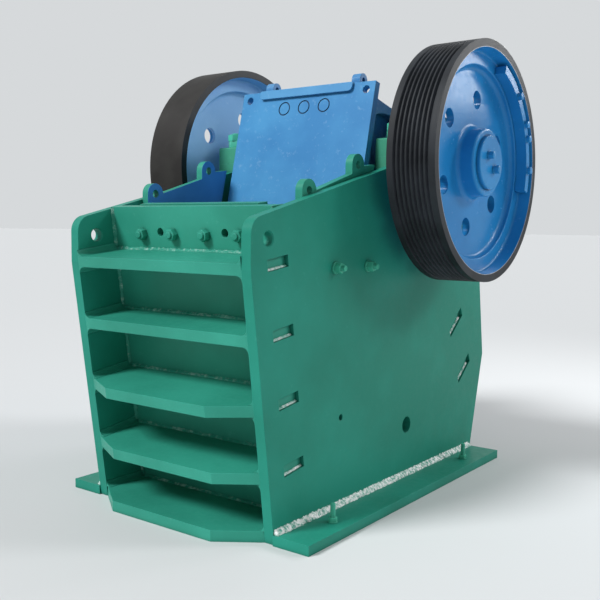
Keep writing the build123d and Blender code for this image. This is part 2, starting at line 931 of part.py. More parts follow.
def guard_plate():
    """The flat plate on the top of the jaw's face, with two corner holes and three plugs."""
    with BuildPart() as guard:
        with BuildSketch(jaw_plane):
            with Locations((0, -guard_length / 2)):
                Rectangle(guard_width, guard_length)
            with Locations((0, -guard_hole_drop)):
                with GridLocations(guard_hole_span, 0, 2, 1):
                    Circle(guard_hole_radius, mode=Mode.SUBTRACT)
        extrude(amount=-guard_thick)
        with BuildSketch(jaw_plane):
            with Locations((0, -plug_drop)):
                with GridLocations(plug_pitch, 0, plug_count, 1):
                    Circle(plug_radius)
                    Circle(plug_radius - plug_groove_width, mode=Mode.SUBTRACT)
        extrude(amount=-plug_groove_depth, mode=Mode.SUBTRACT)
    return guard


def clamp_bar():
    """The bar across the top of the guard plate, with rounded lower corners."""
    with BuildPart() as bar:
        with BuildSketch(jaw_plane) as outline:
            with Locations((0, -bar_height / 2)):
                Rectangle(bar_length, bar_height)
            fillet(outline.vertices().group_by(Axis.Y)[0], radius=bar_corner)
        extrude(amount=bar_thick)
    return bar


def moving_jaw_plate():
    """The toothed plate on the jaw's face, under the guard plate."""
    base_plane = Plane(
        origin=jaw_plane.from_local_coords((0, -guard_length - plate_joint_gap, -guard_thick)),
        x_dir=jaw_plane.x_dir,
        z_dir=jaw_plane.z_dir,
    )
    return toothed_plate(base_plane, moving_plate_length)


def tension_rod():
    """The rod that holds the jaw's foot against the toggle, with its eye and pin."""
    pin_length = eye_width + 2 * (pin_lug_gap + pin_lug_thick + pin_overhang)
    with BuildPart() as rod:
        with BuildSketch(Plane.XZ.offset(-rod_y)):
            with Locations((0, rod_z)):
                Circle(rod_radius)
        extrude(amount=rod_y - rod_end)
        with BuildSketch(side_section()):
            with Locations((rod_y, rod_z)):
                Circle(eye_radius)
        extrude(amount=eye_width / 2, both=True)
        with BuildSketch(side_section()):
            with Locations((rod_y, rod_z)):
                Circle(rod_pin_radius)
        extrude(amount=pin_length / 2, both=True)
    return rod


def spring_washer():
    """The washer and nut on the rod's end, that the spring pushes on."""
    with BuildPart() as washer:
        with BuildSketch(Plane.XZ.offset(-spring_end)):
            with Locations((0, rod_z)):
                Circle(washer_radius)
                Circle(rod_radius + running_clearance, mode=Mode.SUBTRACT)
        extrude(amount=-washer_thick)
        with BuildSketch(Plane.XZ.offset(-spring_end - washer_thick)):
            with Locations((0, rod_z)):
                RegularPolygon(nut_radius, 6)
                Circle(rod_radius + running_clearance, mode=Mode.SUBTRACT)
        extrude(amount=-nut_thick)
    return washer


def tension_spring():
    """The coil spring between the rear beam and the washer."""
    start = beam_y + beam_thick + spring_gap + spring_wire
    height = spring_length - 2 * spring_wire
    with BuildPart() as spring:
        with BuildLine() as coil:
            Helix(
                pitch=height / spring_turns,
                height=height,
                radius=spring_radius,
                center=(0, start, rod_z),
                direction=(0, 1, 0),
            )
        with BuildSketch(Plane(origin=coil.line @ 0, z_dir=coil.line % 0)):
            Circle(spring_wire)
        sweep(path=coil.line)
    return spring


os.makedirs("parts", exist_ok=True)

for side, hand in ((1, "right"), (-1, "left")):
    write(side_plate(side), f"side_plate_{hand}")
    write(base_flange(side), f"base_flange_{hand}")
    write(cheek_plate_upper(side), f"cheek_plate_upper_{hand}")
    write(cheek_plate_lower(side), f"cheek_plate_lower_{hand}")
    write(bearing_half(side, False), f"bearing_base_{hand}")
    write(bearing_half(side, True), f"bearing_cap_{hand}")
    write(bearing_cover(side), f"bearing_cover_{hand}")
    write(counterweight(side), f"counterweight_{hand}")
    write(shaft_cap(side), f"shaft_cap_{hand}")

write(front_wall(), "front_wall")
for index in range(slotted_rib_count):
    write(front_rib(index), f"front_rib_{index + 1}")
write(bottom_rib(), f"front_rib_{slotted_rib_count + 1}")
write(fixed_jaw_plate(), "fixed_jaw_plate")
write(fixed_jaw_ledge(), "fixed_jaw_ledge")

write(rear_wall(), "rear_wall")
for level, place in zip(rear_rib_levels, ("upper", "lower")):
    write(rear_rib(level), f"rear_rib_{place}")
write(rear_beam(), "rear_beam")
write(toggle_seat(), "toggle_seat")
write(toggle_plate(), "toggle_plate")

write(eccentric_shaft(), "eccentric_shaft")
write(flywheel(1), "pulley_flywheel")
write(flywheel(-1), "plain_flywheel")

write(swing_jaw(), "swing_jaw")
write(guard_plate(), "guard_plate")
write(clamp_bar(), "clamp_bar")
write(moving_jaw_plate(), "moving_jaw_plate")
write(tension_rod(), "tension_rod")
write(spring_washer(), "spring_washer")
write(tension_spring(), "tension_spring")
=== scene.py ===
"""Scene of a single-toggle jaw crusher.

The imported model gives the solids. This script gives each of them its finish and adds what the
solids leave out: weld beads, studs, bolts, nuts, washers, shaft seals and the spring's coils.
All sizes are in metres.
"""
import json
import logging
import math
from dataclasses import dataclass
from enum import Enum
from typing import Union

import bmesh
import bpy
from mathutils import Matrix, Vector, noise


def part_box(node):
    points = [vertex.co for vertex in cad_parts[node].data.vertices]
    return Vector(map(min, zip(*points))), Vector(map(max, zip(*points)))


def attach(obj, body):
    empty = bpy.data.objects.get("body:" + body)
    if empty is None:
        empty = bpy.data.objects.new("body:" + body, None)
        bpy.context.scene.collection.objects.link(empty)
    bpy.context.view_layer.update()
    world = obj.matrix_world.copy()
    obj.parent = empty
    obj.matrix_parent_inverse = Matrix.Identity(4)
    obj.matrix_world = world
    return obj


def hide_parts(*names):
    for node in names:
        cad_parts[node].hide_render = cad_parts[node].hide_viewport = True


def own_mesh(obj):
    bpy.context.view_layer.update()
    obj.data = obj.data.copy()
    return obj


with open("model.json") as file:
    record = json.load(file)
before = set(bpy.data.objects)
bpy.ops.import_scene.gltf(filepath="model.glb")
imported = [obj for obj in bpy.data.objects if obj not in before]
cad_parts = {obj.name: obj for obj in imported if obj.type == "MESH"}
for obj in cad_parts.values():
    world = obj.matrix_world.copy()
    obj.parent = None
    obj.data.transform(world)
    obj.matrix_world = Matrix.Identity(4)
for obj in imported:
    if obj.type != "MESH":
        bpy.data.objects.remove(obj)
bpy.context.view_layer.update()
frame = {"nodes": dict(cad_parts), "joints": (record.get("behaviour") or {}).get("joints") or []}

log = logging.getLogger("jaw_crusher")

Socket = bpy.types.NodeSocket
Tree = bpy.types.NodeTree

MM = 0.001
UP = Vector((0, 0, 1))
WHITE = (1.0, 1.0, 1.0, 1.0)

# The Mix node's sockets by number, because its numbers and its colours share their names
MIX_FACTOR = 0
NUMBER_A, NUMBER_B, NUMBER_RESULT = 2, 3, 0
COLOUR_A, COLOUR_B, COLOUR_RESULT = 6, 7, 2


class Side(Enum):
    """The two sides of the machine, by the sign of X."""

    RIGHT = 1
    LEFT = -1

    @property
    def word(self) -> str:
        """The side's name, as the pieces' names have it."""
        return self.name.lower()

    @property
    def outward(self) -> Vector:
        """The direction away from the machine's middle."""
        return Vector((self.value, 0, 0))

    @property
    def inward(self) -> Vector:
        """The direction towards the machine's middle."""
        return Vector((-self.value, 0, 0))

    def outer_face(self, node: str) -> float:
        """The X of the outer face of a solid on this side."""
        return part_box(node)[(1 + self.value) // 2].x


class Body(Enum):
    """The bodies that the added pieces ride on."""

    FRAME = "frame"
    ROTOR = "rotor"


class Slot(Enum):
    """The record's material slots that the added pieces take."""

    FRAME_PAINT = "frame_paint"
    WHEEL_PAINT = "wheel_paint"
    BARE_STEEL = "bare_steel"


class BeadStyle(Enum):
    """How a weld bead was left."""

    COVED = "ground to a smooth hollow"
    CROWNED = "as laid, with ripples"


# Places that the pieces share


@dataclass(frozen=True)
class Slope:
    """A leaning plane across the machine: it faces the front and leans by an angle."""

    y: float
    z: float
    lean: float

    @property
    def out(self) -> Vector:
        """The direction out of the plane, towards the front."""
        return Vector((0, -math.cos(math.radians(self.lean)), -math.sin(math.radians(self.lean))))

    @property
    def up(self) -> Vector:
        """The direction up the plane's slope."""
        return Vector((0, -math.sin(math.radians(self.lean)), math.cos(math.radians(self.lean))))

    def at(self, x: float, up: float, out: float) -> Vector:
        """The point at this X, this far up the slope and this far out of the plane."""
        return Vector((x, self.y, self.z)) + self.up * up + self.out * out

    def level(self, z: float, out: float) -> float:
        """How far up the slope a point of this height lies, this far out of the plane."""
        return (z - self.z - out * self.out.z) / self.up.z


def joint(name: str) -> dict:
    """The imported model's joint of this name."""
    return next(one for one in frame["joints"] if one["name"] == name)


SHAFT = Vector(joint("flywheel_spin")["pos_m"])

# The faces of the front ribs, the rear wall's back and the guard plate
FRONT = Slope(-1096 * MM, 1165 * MM, 8.0)
REAR = Slope(722 * MM, 608 * MM, 22.8)
JAW = Slope(12 * MM, 2071 * MM, -13.2)

# How far the front wall lies behind its ribs' faces, and how high the feet are
WALL_SETBACK = 240 * MM
FOOT_TOP = 45 * MM

# The faces of plates, covers, liners and wheels, from the middle along X
PLATE_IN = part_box("front_wall")[1].x
PLATE_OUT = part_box("side_plate_right")[1].x
COVER_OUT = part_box("bearing_cover_right")[1].x
CHEEK_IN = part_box("cheek_plate_upper_right")[0].x
WHEEL_WIDTH = 250 * MM
WHEEL_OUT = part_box("pulley_flywheel")[1].x
WHEEL_IN = WHEEL_OUT - WHEEL_WIDTH
WHEEL_MIDDLE = WHEEL_OUT - WHEEL_WIDTH / 2

# How far a coat that ends at a face reaches past it, so that the whole face has it
FACE_SKIN = 1.5 * MM


# Finishes


def linear(code: str) -> tuple[float, float, float, float]:
    """Turns an sRGB colour to linear light.

    Args:
        code: The colour as a hex value, such as "#2F9174".

    Returns:
        Red, green and blue in linear light, and an alpha of 1.
    """
    parts = [int(code[start:start + 2], 16) / 255 for start in (1, 3, 5)]
    light = [p / 12.92 if p <= 0.04045 else ((p + 0.055) / 1.055) ** 2.4 for p in parts]
    return (light[0], light[1], light[2], 1.0)


def add_node(tree: Tree, kind: str, inputs: dict, **settings: object) -> bpy.types.Node:
    """Adds one shader node with its settings and links.

    Args:
        tree: The node tree that gets the node.
        kind: The node's type in Blender, without its prefix ShaderNode.
        inputs: What goes into each input, by its name or number: a value, another socket, or
            a node, whose first output it then gets.
        settings: The node's own attributes, such as operation.

    Returns:
        The new node.
    """
    node = tree.nodes.new("ShaderNode" + kind)
    for name, value in settings.items():
        setattr(node, name, value)
    for key, value in inputs.items():
        if isinstance(value, bpy.types.Node):
            value = value.outputs[0]
        if isinstance(value, Socket):
            tree.links.new(value, node.inputs[key])
        else:
            node.inputs[key].default_value = value
    return node


def clouded(tree: Tree, point: Socket, size: float, detail: float, deep: str, colour: str,
            span: tuple[float, float] = (0.35, 0.65)) -> Socket:
    """Adds the nodes of a tone that drifts between two colours in soft clouds.

    Args:
        tree: The material's node tree.
        point: The socket that gives the place on the object, in metres.
        size: How large the clouds are.
        detail: How many finer layers break up their outlines.
        deep: The darker colour.
        colour: The paler colour.
        span: The noise values where the tone is all deep and where it is all colour.

    Returns:
        The tone's socket.
    """
    cloud = add_node(tree, "TexNoise", {"Vector": point, "Scale": 1 / size, "Detail": detail})
    share = add_node(tree, "MapRange", {"Value": cloud, "From Min": span[0], "From Max": span[1]})
    tone = add_node(tree, "Mix",
                    {MIX_FACTOR: share, COLOUR_A: linear(deep), COLOUR_B: linear(colour)},
                    data_type="RGBA")
    return tone.outputs[COLOUR_RESULT]


@dataclass
class Surface:
    """What a coat is like at every point: its colour, roughness, relief and metal share."""

    colour: Socket
    roughness: Socket
    height: Socket
    metallic: Union[Socket, float]


@dataclass(frozen=True)
class Enamel:
    """Sprayed alkyd machine enamel: a soft gloss with orange peel and uneven cover.

    It hides the metal, so the eye sees the paint's own colour, dulled by pale specks, which are dust
    on most finishes and painted glints of light on the weld beads and the jaw's casting, and a broad
    soft highlight that the peel breaks up. Real peel is 1 to 2 mm wide; it is drawn wider so that it
    shows. The grain is the roughness of the metal under the paint.
    """

    colour: str
    deep: str
    dust_and_glint: str
    gloss: float = 0.34
    gloss_loss: float = 0.22
    dust_and_glint_start: float = 0.60
    dust_and_glint_fade: float = 0.18
    dust_and_glint_share: float = 0.30
    cloud_size: float = 420 * MM
    cloud_span: tuple[float, float] = (0.38, 0.66)
    speck_size: float = 30 * MM
    speck_span: tuple[float, float] = (0.3, 0.8)
    peel_size: float = 5 * MM
    peel_depth: float = 0.07 * MM
    grain_size: float = 14 * MM
    grain_depth: float = 0.10 * MM

    def lay(self, tree: Tree, point: Socket) -> Surface:
        """Adds the coat's nodes.

        Args:
            tree: The material's node tree.
            point: The socket that gives the place on the object, in metres.

        Returns:
            The coat's sockets.
        """
        tone = clouded(tree, point, self.cloud_size, 4.0, self.deep, self.colour,
                       self.cloud_span)
        # Pale specks: dust on most finishes, painted glints of light on the weld beads and the jaw
        speck = add_node(tree, "TexNoise",
                         {"Vector": point, "Scale": 1 / self.speck_size, "Detail": 8.0,
                          "Roughness": 0.7})
        pale_specks = add_node(tree, "MapRange",
                        {"Value": speck, "From Min": self.dust_and_glint_start,
                         "From Max": self.dust_and_glint_start + self.dust_and_glint_fade, "To Max": self.dust_and_glint_share})
        dusted_and_glinting = add_node(tree, "Mix",
                         {MIX_FACTOR: pale_specks, COLOUR_A: tone, COLOUR_B: linear(self.dust_and_glint)},
                         data_type="RGBA")
        rough = add_node(tree, "MapRange",
                         {"Value": speck, "From Min": self.speck_span[0],
                          "From Max": self.speck_span[1], "To Min": self.gloss,
                          "To Max": self.gloss + self.gloss_loss})
        peel = add_node(tree, "TexNoise",
                        {"Vector": point, "Scale": 1 / self.peel_size, "Detail": 1.0})
        grain = add_node(tree, "TexNoise",
                         {"Vector": point, "Scale": 1 / self.grain_size, "Detail": 5.0})
        low = add_node(tree, "Math", {0: grain, 1: self.grain_depth}, operation="MULTIPLY")
        both = add_node(tree, "Math", {0: peel, 1: self.peel_depth, 2: low},
                        operation="MULTIPLY_ADD")
        return Surface(dusted_and_glinting.outputs[COLOUR_RESULT], rough.outputs[0], both.outputs[0], 0.0)


@dataclass(frozen=True)
class TurnedMetal:
    """Cast iron or steel turned on a lathe: fine rings round the shaft's axis.

    The rings spread the highlight into a band, and an oily film darkens the metal unevenly.
    The real rings are about 0.3 mm apart; they are drawn wider so that they show. A metal share
    of 0 is iron under a black film of oil and belt rubber, which shines like a varnish.
    """

    colour: str
    deep: str
    roughness: float
    metallic: float = 0.0
    polish: float = 0.06
    wear: float = 0.10
    film_size: float = 160 * MM
    ring_size: float = 3 * MM
    ring_span: tuple[float, float] = (0.3, 0.7)
    ring_depth: float = 0.05 * MM

    def lay(self, tree: Tree, point: Socket) -> Surface:
        """Adds the coat's nodes.

        Args:
            tree: The material's node tree.
            point: The socket that gives the place on the object, in metres.

        Returns:
            The coat's sockets.
        """
        axial = add_node(tree, "SeparateXYZ", {0: point})
        turn = add_node(tree, "CombineXYZ", {0: shaft_distance(tree, point), 1: axial})
        rings = add_node(tree, "TexNoise",
                         {"Vector": turn, "Scale": 1 / self.ring_size, "Detail": 3.0})
        tone = clouded(tree, point, self.film_size, 5.0, self.deep, self.colour)
        rough = add_node(tree, "MapRange",
                         {"Value": rings, "From Min": self.ring_span[0],
                          "From Max": self.ring_span[1], "To Min": self.roughness - self.polish,
                          "To Max": self.roughness + self.wear})
        height = add_node(tree, "Math", {0: rings, 1: self.ring_depth}, operation="MULTIPLY")
        return Surface(tone, rough.outputs[0], height.outputs[0], self.metallic)


@dataclass(frozen=True)
class CastSteel:
    """Steel with the skin of its mould or furnace: dull, pitted and unevenly brown-grey."""

    colour: str
    deep: str
    metallic: float = 0.55
    roughness: float = 0.62
    roughness_spread: float = 0.15
    cloud_size: float = 120 * MM
    pit_size: float = 9 * MM
    pit_depth: float = 0.5 * MM

    def lay(self, tree: Tree, point: Socket) -> Surface:
        """Adds the coat's nodes.

        Args:
            tree: The material's node tree.
            point: The socket that gives the place on the object, in metres.

        Returns:
            The coat's sockets.
        """
        tone = clouded(tree, point, self.cloud_size, 7.0, self.deep, self.colour)
        pits = add_node(tree, "TexNoise",
                        {"Vector": point, "Scale": 1 / self.pit_size, "Detail": 6.0})
        rough = add_node(tree, "MapRange",
                         {"Value": pits, "To Min": self.roughness - self.roughness_spread,
                          "To Max": self.roughness + self.roughness_spread})
        height = add_node(tree, "Math", {0: pits, 1: self.pit_depth}, operation="MULTIPLY")
        return Surface(tone, rough.outputs[0], height.outputs[0], self.metallic)


Coat = Union[Enamel, TurnedMetal, CastSteel]


def shaft_distance(tree: Tree, point: Socket) -> Socket:
    """Adds the nodes that measure how far a point is from the shaft's axis.

    Args:
        tree: The material's node tree.
        point: The socket that gives the place on the object, in metres.

    Returns:
        The socket of the distance.
    """
    away = add_node(tree, "VectorMath", {0: point, 1: (0.0, SHAFT.y, SHAFT.z)},
                    operation="SUBTRACT")
    flat = add_node(tree, "VectorMath", {0: away, 1: (0.0, 1.0, 1.0)}, operation="MULTIPLY")
    reach = add_node(tree, "VectorMath", {0: flat}, operation="LENGTH")
    return reach.outputs["Value"]


def middle_distance(tree: Tree, point: Socket) -> Socket:
    """Adds the nodes that measure how far a point is from the machine's middle, along X."""
    axial = add_node(tree, "SeparateXYZ", {0: point})
    return add_node(tree, "Math", {0: axial}, operation="ABSOLUTE").outputs[0]


@dataclass(frozen=True)
class Beyond:
    """The part of a wheel that is further from the shaft's axis than radius."""

    radius: float

    def mask(self, tree: Tree, point: Socket) -> Socket:
        """Adds the nodes that give 1 in this place and 0 elsewhere."""
        far = add_node(tree, "Math", {0: shaft_distance(tree, point), 1: self.radius},
                       operation="GREATER_THAN")
        return far.outputs[0]


@dataclass(frozen=True)
class RimFace(Beyond):
    """The two end faces of a wheel's rim, from radius outwards."""

    def mask(self, tree: Tree, point: Socket) -> Socket:
        """Adds the nodes that give 1 in this place and 0 elsewhere.

        Args:
            tree: The material's node tree.
            point: The socket that gives the place on the object, in metres.

        Returns:
            The mask's socket.
        """
        side = middle_distance(tree, point)
        outer = add_node(tree, "Math", {0: side, 1: WHEEL_OUT - FACE_SKIN},
                         operation="GREATER_THAN")
        inner = add_node(tree, "Math", {0: side, 1: WHEEL_IN + FACE_SKIN}, operation="LESS_THAN")
        face = add_node(tree, "Math", {0: outer, 1: inner}, operation="MAXIMUM")
        both = add_node(tree, "Math", {0: face, 1: super().mask(tree, point)}, operation="MULTIPLY")
        return both.outputs[0]


@dataclass(frozen=True)
class Inside:
    """All that is nearer to the machine's middle than reach, such as a liner's inner face."""

    reach: float

    def mask(self, tree: Tree, point: Socket) -> Socket:
        """Adds the nodes that give 1 in this place and 0 elsewhere."""
        near = add_node(tree, "Math", {0: middle_distance(tree, point), 1: self.reach},
                        operation="LESS_THAN")
        return near.outputs[0]


@dataclass(frozen=True)
class Sunk:
    """What lies under the face of a sloping plate, in a band whose middle is drop down its slope."""

    slope: Slope
    drop: float
    half_height: float
    half_width: float
    skin: float = 0.6 * MM

    def mask(self, tree: Tree, point: Socket) -> Socket:
        """Adds the nodes that give 1 in this place and 0 elsewhere.

        Args:
            tree: The material's node tree.
            point: The socket that gives the place on the object, in metres.

        Returns:
            The mask's socket.
        """
        away = add_node(tree, "VectorMath", {0: point, 1: self.slope.at(0, -self.drop, 0)},
                        operation="SUBTRACT")
        axes = (self.slope.up, Side.RIGHT.outward, self.slope.out)
        high, wide, deep = [add_node(tree, "VectorMath", {0: away, 1: axis},
                                     operation="DOT_PRODUCT").outputs["Value"] for axis in axes]
        tall = add_node(tree, "Math", {0: high, 1: 0.0, 2: self.half_height}, operation="COMPARE")
        broad = add_node(tree, "Math", {0: wide, 1: 0.0, 2: self.half_width}, operation="COMPARE")
        under = add_node(tree, "Math", {0: deep, 1: -self.skin}, operation="LESS_THAN")
        band = add_node(tree, "Math", {0: tall, 1: broad}, operation="MULTIPLY")
        sunk = add_node(tree, "Math", {0: band, 1: under}, operation="MULTIPLY")
        return sunk.outputs[0]


@dataclass(frozen=True)
class Finish:
    """A material: a coat all over, and other coats in the places that they cover.

    Edges are painted paler, partly as worn paint and partly as a painted highlight, and corners
    are darkened as painted shade, which draws each form for the eye. The index of refraction is
    lower than enamel's usual 1.5, because the pale studio would veil its colour.
    """

    name: str
    coat: Coat
    over: tuple[tuple[Union[Beyond, Inside, Sunk], Coat], ...] = ()
    ior: float = 1.29
    # Paler edges: partly worn paint, partly painted highlight. Darker corners: painted shade
    edge_radius: float = 3 * MM
    edge_light: float = 0.45
    edge_start: float = 0.995
    edge_end: float = 0.90
    corner_reach: float = 30 * MM
    corner_shade: float = 0.55
    corner_start: float = 0.85
    corner_end: float = 0.35

    def material(self) -> bpy.types.Material:
        """Makes the material, or finds it if it was made before.

        Returns:
            The Blender material.
        """
        made = bpy.data.materials.get(self.name)
        if made is not None:
            return made
        made = bpy.data.materials.new(self.name)
        made.use_nodes = True
        tree = made.node_tree
        shader = tree.nodes["Principled BSDF"]
        point = add_node(tree, "TexCoord", {}).outputs["Object"]
        surface = self.coat.lay(tree, point)
        for place, coat in self.over:
            surface = self.cover(tree, surface, coat.lay(tree, point), place.mask(tree, point))
        soft = add_node(tree, "Bevel", {"Radius": self.edge_radius}, samples=4)
        relief = add_node(tree, "Bump",
                          {"Height": surface.height, "Distance": 1.0, "Strength": 1.0,
                           "Normal": soft})
        # Painted highlight and wear on edges, painted shade in corners
        colour = self.shade_corners(tree, self.wear_and_highlight_edges(tree, surface.colour, soft.outputs[0]))
        tree.links.new(colour, shader.inputs["Base Color"])
        tree.links.new(surface.roughness, shader.inputs["Roughness"])
        tree.links.new(relief.outputs[0], shader.inputs["Normal"])
        if isinstance(surface.metallic, Socket):
            tree.links.new(surface.metallic, shader.inputs["Metallic"])
        else:
            shader.inputs["Metallic"].default_value = surface.metallic
        shader.inputs["IOR"].default_value = self.ior
        return made

    def wear_and_highlight_edges(self, tree: Tree, colour: Socket, soft: Socket) -> Socket:
        """Makes a colour paler where the softened normal leaves the flat one, as on an edge: partly
        worn paint and partly a painted highlight.

        Args:
            tree: The material's node tree.
            colour: The colour's socket.
            soft: The softened normal's socket.

        Returns:
            The socket of the worn colour.
        """
        flat = add_node(tree, "NewGeometry", {})
        agree = add_node(tree, "VectorMath", {0: soft, 1: flat.outputs["Normal"]},
                         operation="DOT_PRODUCT")
        edge = add_node(tree, "MapRange",
                        {"Value": agree.outputs["Value"], "From Min": self.edge_start,
                         "From Max": self.edge_end, "To Max": self.edge_light})
        paler = add_node(tree, "Mix", {MIX_FACTOR: edge, COLOUR_A: colour, COLOUR_B: WHITE},
                         data_type="RGBA", blend_type="SOFT_LIGHT")
        return paler.outputs[COLOUR_RESULT]

    def shade_corners(self, tree: Tree, colour: Socket) -> Socket:
        """Darkens a colour in corners, as painted shade where nearby surfaces keep light out.

        Args:
            tree: The material's node tree.
            colour: The colour's socket.

        Returns:
            The socket of the darkened colour.
        """
        # Painted shade: the colour gets darker where ambient occlusion is low
        corner = add_node(tree, "AmbientOcclusion", {"Distance": self.corner_reach}, samples=6)
        corner_shade_factor = add_node(tree, "MapRange",
                         {"Value": corner.outputs["AO"], "From Min": self.corner_end,
                          "From Max": self.corner_start, "To Min": self.corner_shade,
                          "To Max": 1.0})
        shaded = add_node(tree, "Mix", {MIX_FACTOR: 1.0, COLOUR_A: colour, COLOUR_B: corner_shade_factor},
                          data_type="RGBA", blend_type="MULTIPLY")
        return shaded.outputs[COLOUR_RESULT]

    def cover(self, tree: Tree, under: Surface, top: Surface, mask: Socket) -> Surface:
        """Lays one surface over another where the mask is 1.

        Args:
            tree: The material's node tree.
            under: The surface that is covered.
            top: The surface that covers it.
            mask: The socket that says where.

        Returns:
            Both surfaces together. A metal share that they have in common stays a plain number.
        """
        tone = add_node(tree, "Mix",
                        {MIX_FACTOR: mask, COLOUR_A: under.colour, COLOUR_B: top.colour},
                        data_type="RGBA")
        rest = []
        for low, high in ((under.roughness, top.roughness), (under.height, top.height),
                          (under.metallic, top.metallic)):
            if low == high:
                rest.append(low)
            else:
                both = add_node(tree, "Mix", {MIX_FACTOR: mask, NUMBER_A: low, NUMBER_B: high})
                rest.append(both.outputs[NUMBER_RESULT])
        return Surface(tone.outputs[COLOUR_RESULT], *rest)


# The shader's default index, which bare metal keeps
METAL_IOR = 1.5

# Sprayed enamel on plate: an even green, with pale specks of dust
GREEN_ENAMEL = Enamel(colour="#369D88", deep="#2E8E7A", dust_and_glint="#66B7A4", dust_and_glint_share=0.38)
GREEN = Finish("green_enamel", GREEN_ENAMEL)

# The same enamel on the big side plates, painted deeper as painted shade and against the pale room
# that they mirror more
SHADED_PLATE_GREEN = Finish("shaded_plate_green_enamel",
                     Enamel(colour="#29927F", deep="#238572", dust_and_glint="#5CAD9B"), ior=1.24)

# Brushed enamel on bolts and nuts: a brighter green than the plates round them, partly as a
# painted highlight on their facets
HIGHLIT_BRIGHT_GREEN = Finish("highlit_bright_green_enamel",
                      Enamel(colour="#4CBA9E", deep="#3DA88C", dust_and_glint="#8CD8C2"))

# Enamel over sand-cast housings: the cast skin's bumps break up the highlight
CAST_GREEN = Finish("cast_green_enamel",
                    Enamel(colour="#47A083", deep="#3A8D71", dust_and_glint="#78BDA5",
                           grain_size=20 * MM, grain_depth=0.5 * MM))

# Enamel over weld beads: the ripples catch the light, and pale specks lie on them, partly dust
# and partly painted glints of light
GLINTING_WELD = Finish("glinting_green_weld_enamel",
              Enamel(colour="#3CA48F", deep="#2C907B", dust_and_glint="#C6E8DF", gloss=0.28,
                     dust_and_glint_start=0.50, dust_and_glint_share=0.65, grain_size=7 * MM,
                     grain_depth=2.6 * MM),
              edge_radius=1 * MM, edge_light=0.0)

# The big beads at the feet: the crown painted white all along, as a painted highlight
HIGHLIT_FOOT_WELD = Finish("highlit_foot_weld_enamel",
                     Enamel(colour="#62B4A2", deep="#3F9A87", dust_and_glint="#FFFFFF", gloss=0.24,
                            dust_and_glint_start=0.40, dust_and_glint_share=1.0, speck_size=17 * MM,
                            grain_size=7 * MM, grain_depth=1.8 * MM),
                     edge_radius=1 * MM, edge_light=0.0, corner_shade=0.92)

# The beads in the side plates' slots: the same white, brighter, as thin lines of painted highlight
HIGHLIT_SLOT_WELD = Finish("highlit_slot_weld_enamel",
                   Enamel(colour="#A4DACE", deep="#68B8A7", dust_and_glint="#FFFFFF", gloss=0.20,
                          dust_and_glint_start=0.42, dust_and_glint_share=1.0, grain_size=7 * MM,
                          grain_depth=1.6 * MM),
                   edge_radius=1 * MM, edge_light=0.0, corner_shade=1.0)

# The guard plate: azure with dusty clouds, and dark blue painted in the grooves round its three
# plugs as painted shade
BLUE = Finish("blue_enamel",
              Enamel(colour="#4391C6", deep="#337FB8", dust_and_glint="#A0C5DC", gloss=0.38,
                     dust_and_glint_start=0.57, dust_and_glint_share=0.36, cloud_size=260 * MM),
              # Painted shade: dark blue in the grooves round the plugs
              over=((Sunk(JAW, drop=105 * MM, half_height=45 * MM, half_width=175 * MM),
                     Enamel(colour="#2A5682", deep="#204970", dust_and_glint="#3D6D98", gloss=0.5)),),
              corner_reach=14 * MM, corner_shade=0.40)

# The bar that clamps it: a paler azure than the guard plate, with more pale specks
BAR_BLUE = Finish("bar_blue_enamel",
                  Enamel(colour="#549ACB", deep="#4389BE", dust_and_glint="#A6CAE0", dust_and_glint_share=0.5),
                  corner_reach=14 * MM)

# Enamel over the jaw's rough casting: lumpy, and blotched with pale specks that are partly dust
# and partly painted glints of light
DUSTY_GLINTING_BLUE = Finish("dusty_glinting_cast_blue_enamel",
                    Enamel(colour="#5892C2", deep="#4383B8", dust_and_glint="#C4D9E8", gloss=0.30,
                           dust_and_glint_start=0.55, dust_and_glint_share=0.35, cloud_size=110 * MM,
                           grain_size=12 * MM, grain_depth=1.2 * MM))

# Enamel over smooth castings: the glossiest azure, with small sharp highlights
CAST_BLUE_ENAMEL = Enamel(colour="#2C8FD0", deep="#2380C0", dust_and_glint="#7CB4DE", gloss=0.12,
                          dust_and_glint_share=0.2, grain_size=26 * MM, grain_depth=0.16 * MM)
CAST_BLUE = Finish("cast_blue_enamel", CAST_BLUE_ENAMEL)

# The liners: green like the frame, and azure on the face that looks into the chamber
LINER = Finish("liner_enamel", GREEN_ENAMEL,
               over=((Inside(CHEEK_IN + FACE_SKIN),
                      Enamel(colour="#4C9ADB", deep="#3A84C6", dust_and_glint="#7CB0DC")),))

# The pulley: an azure dish, black lands between grooves painted greyer as painted light that
# evens out the shade in them, and a bright line turned round the inner edge of its black rim,
# partly worn bare iron and partly a painted highlight
RING_IRON = TurnedMetal(colour="#2F3338", deep="#202327", roughness=0.45)
WHEEL = Finish("flywheel_enamel", CAST_BLUE_ENAMEL, corner_shade=0.80,
               # Painted light: the grooves are greyer than the lands to even out their shade
               over=((Beyond(575 * MM),
                      TurnedMetal(colour="#4E535B", deep="#3B3F45", roughness=0.50)),
                     (Beyond(598.5 * MM),
                      TurnedMetal(colour="#2A2E33", deep="#1E2125", roughness=0.55)),
                     # Bright line round the rim's inner edge: worn iron and painted highlight
                     (RimFace(558 * MM),
                      TurnedMetal(colour="#A9AEB4", deep="#868B91", roughness=0.30,
                                  metallic=0.3)),
                     (RimFace(562.5 * MM), RING_IRON)))

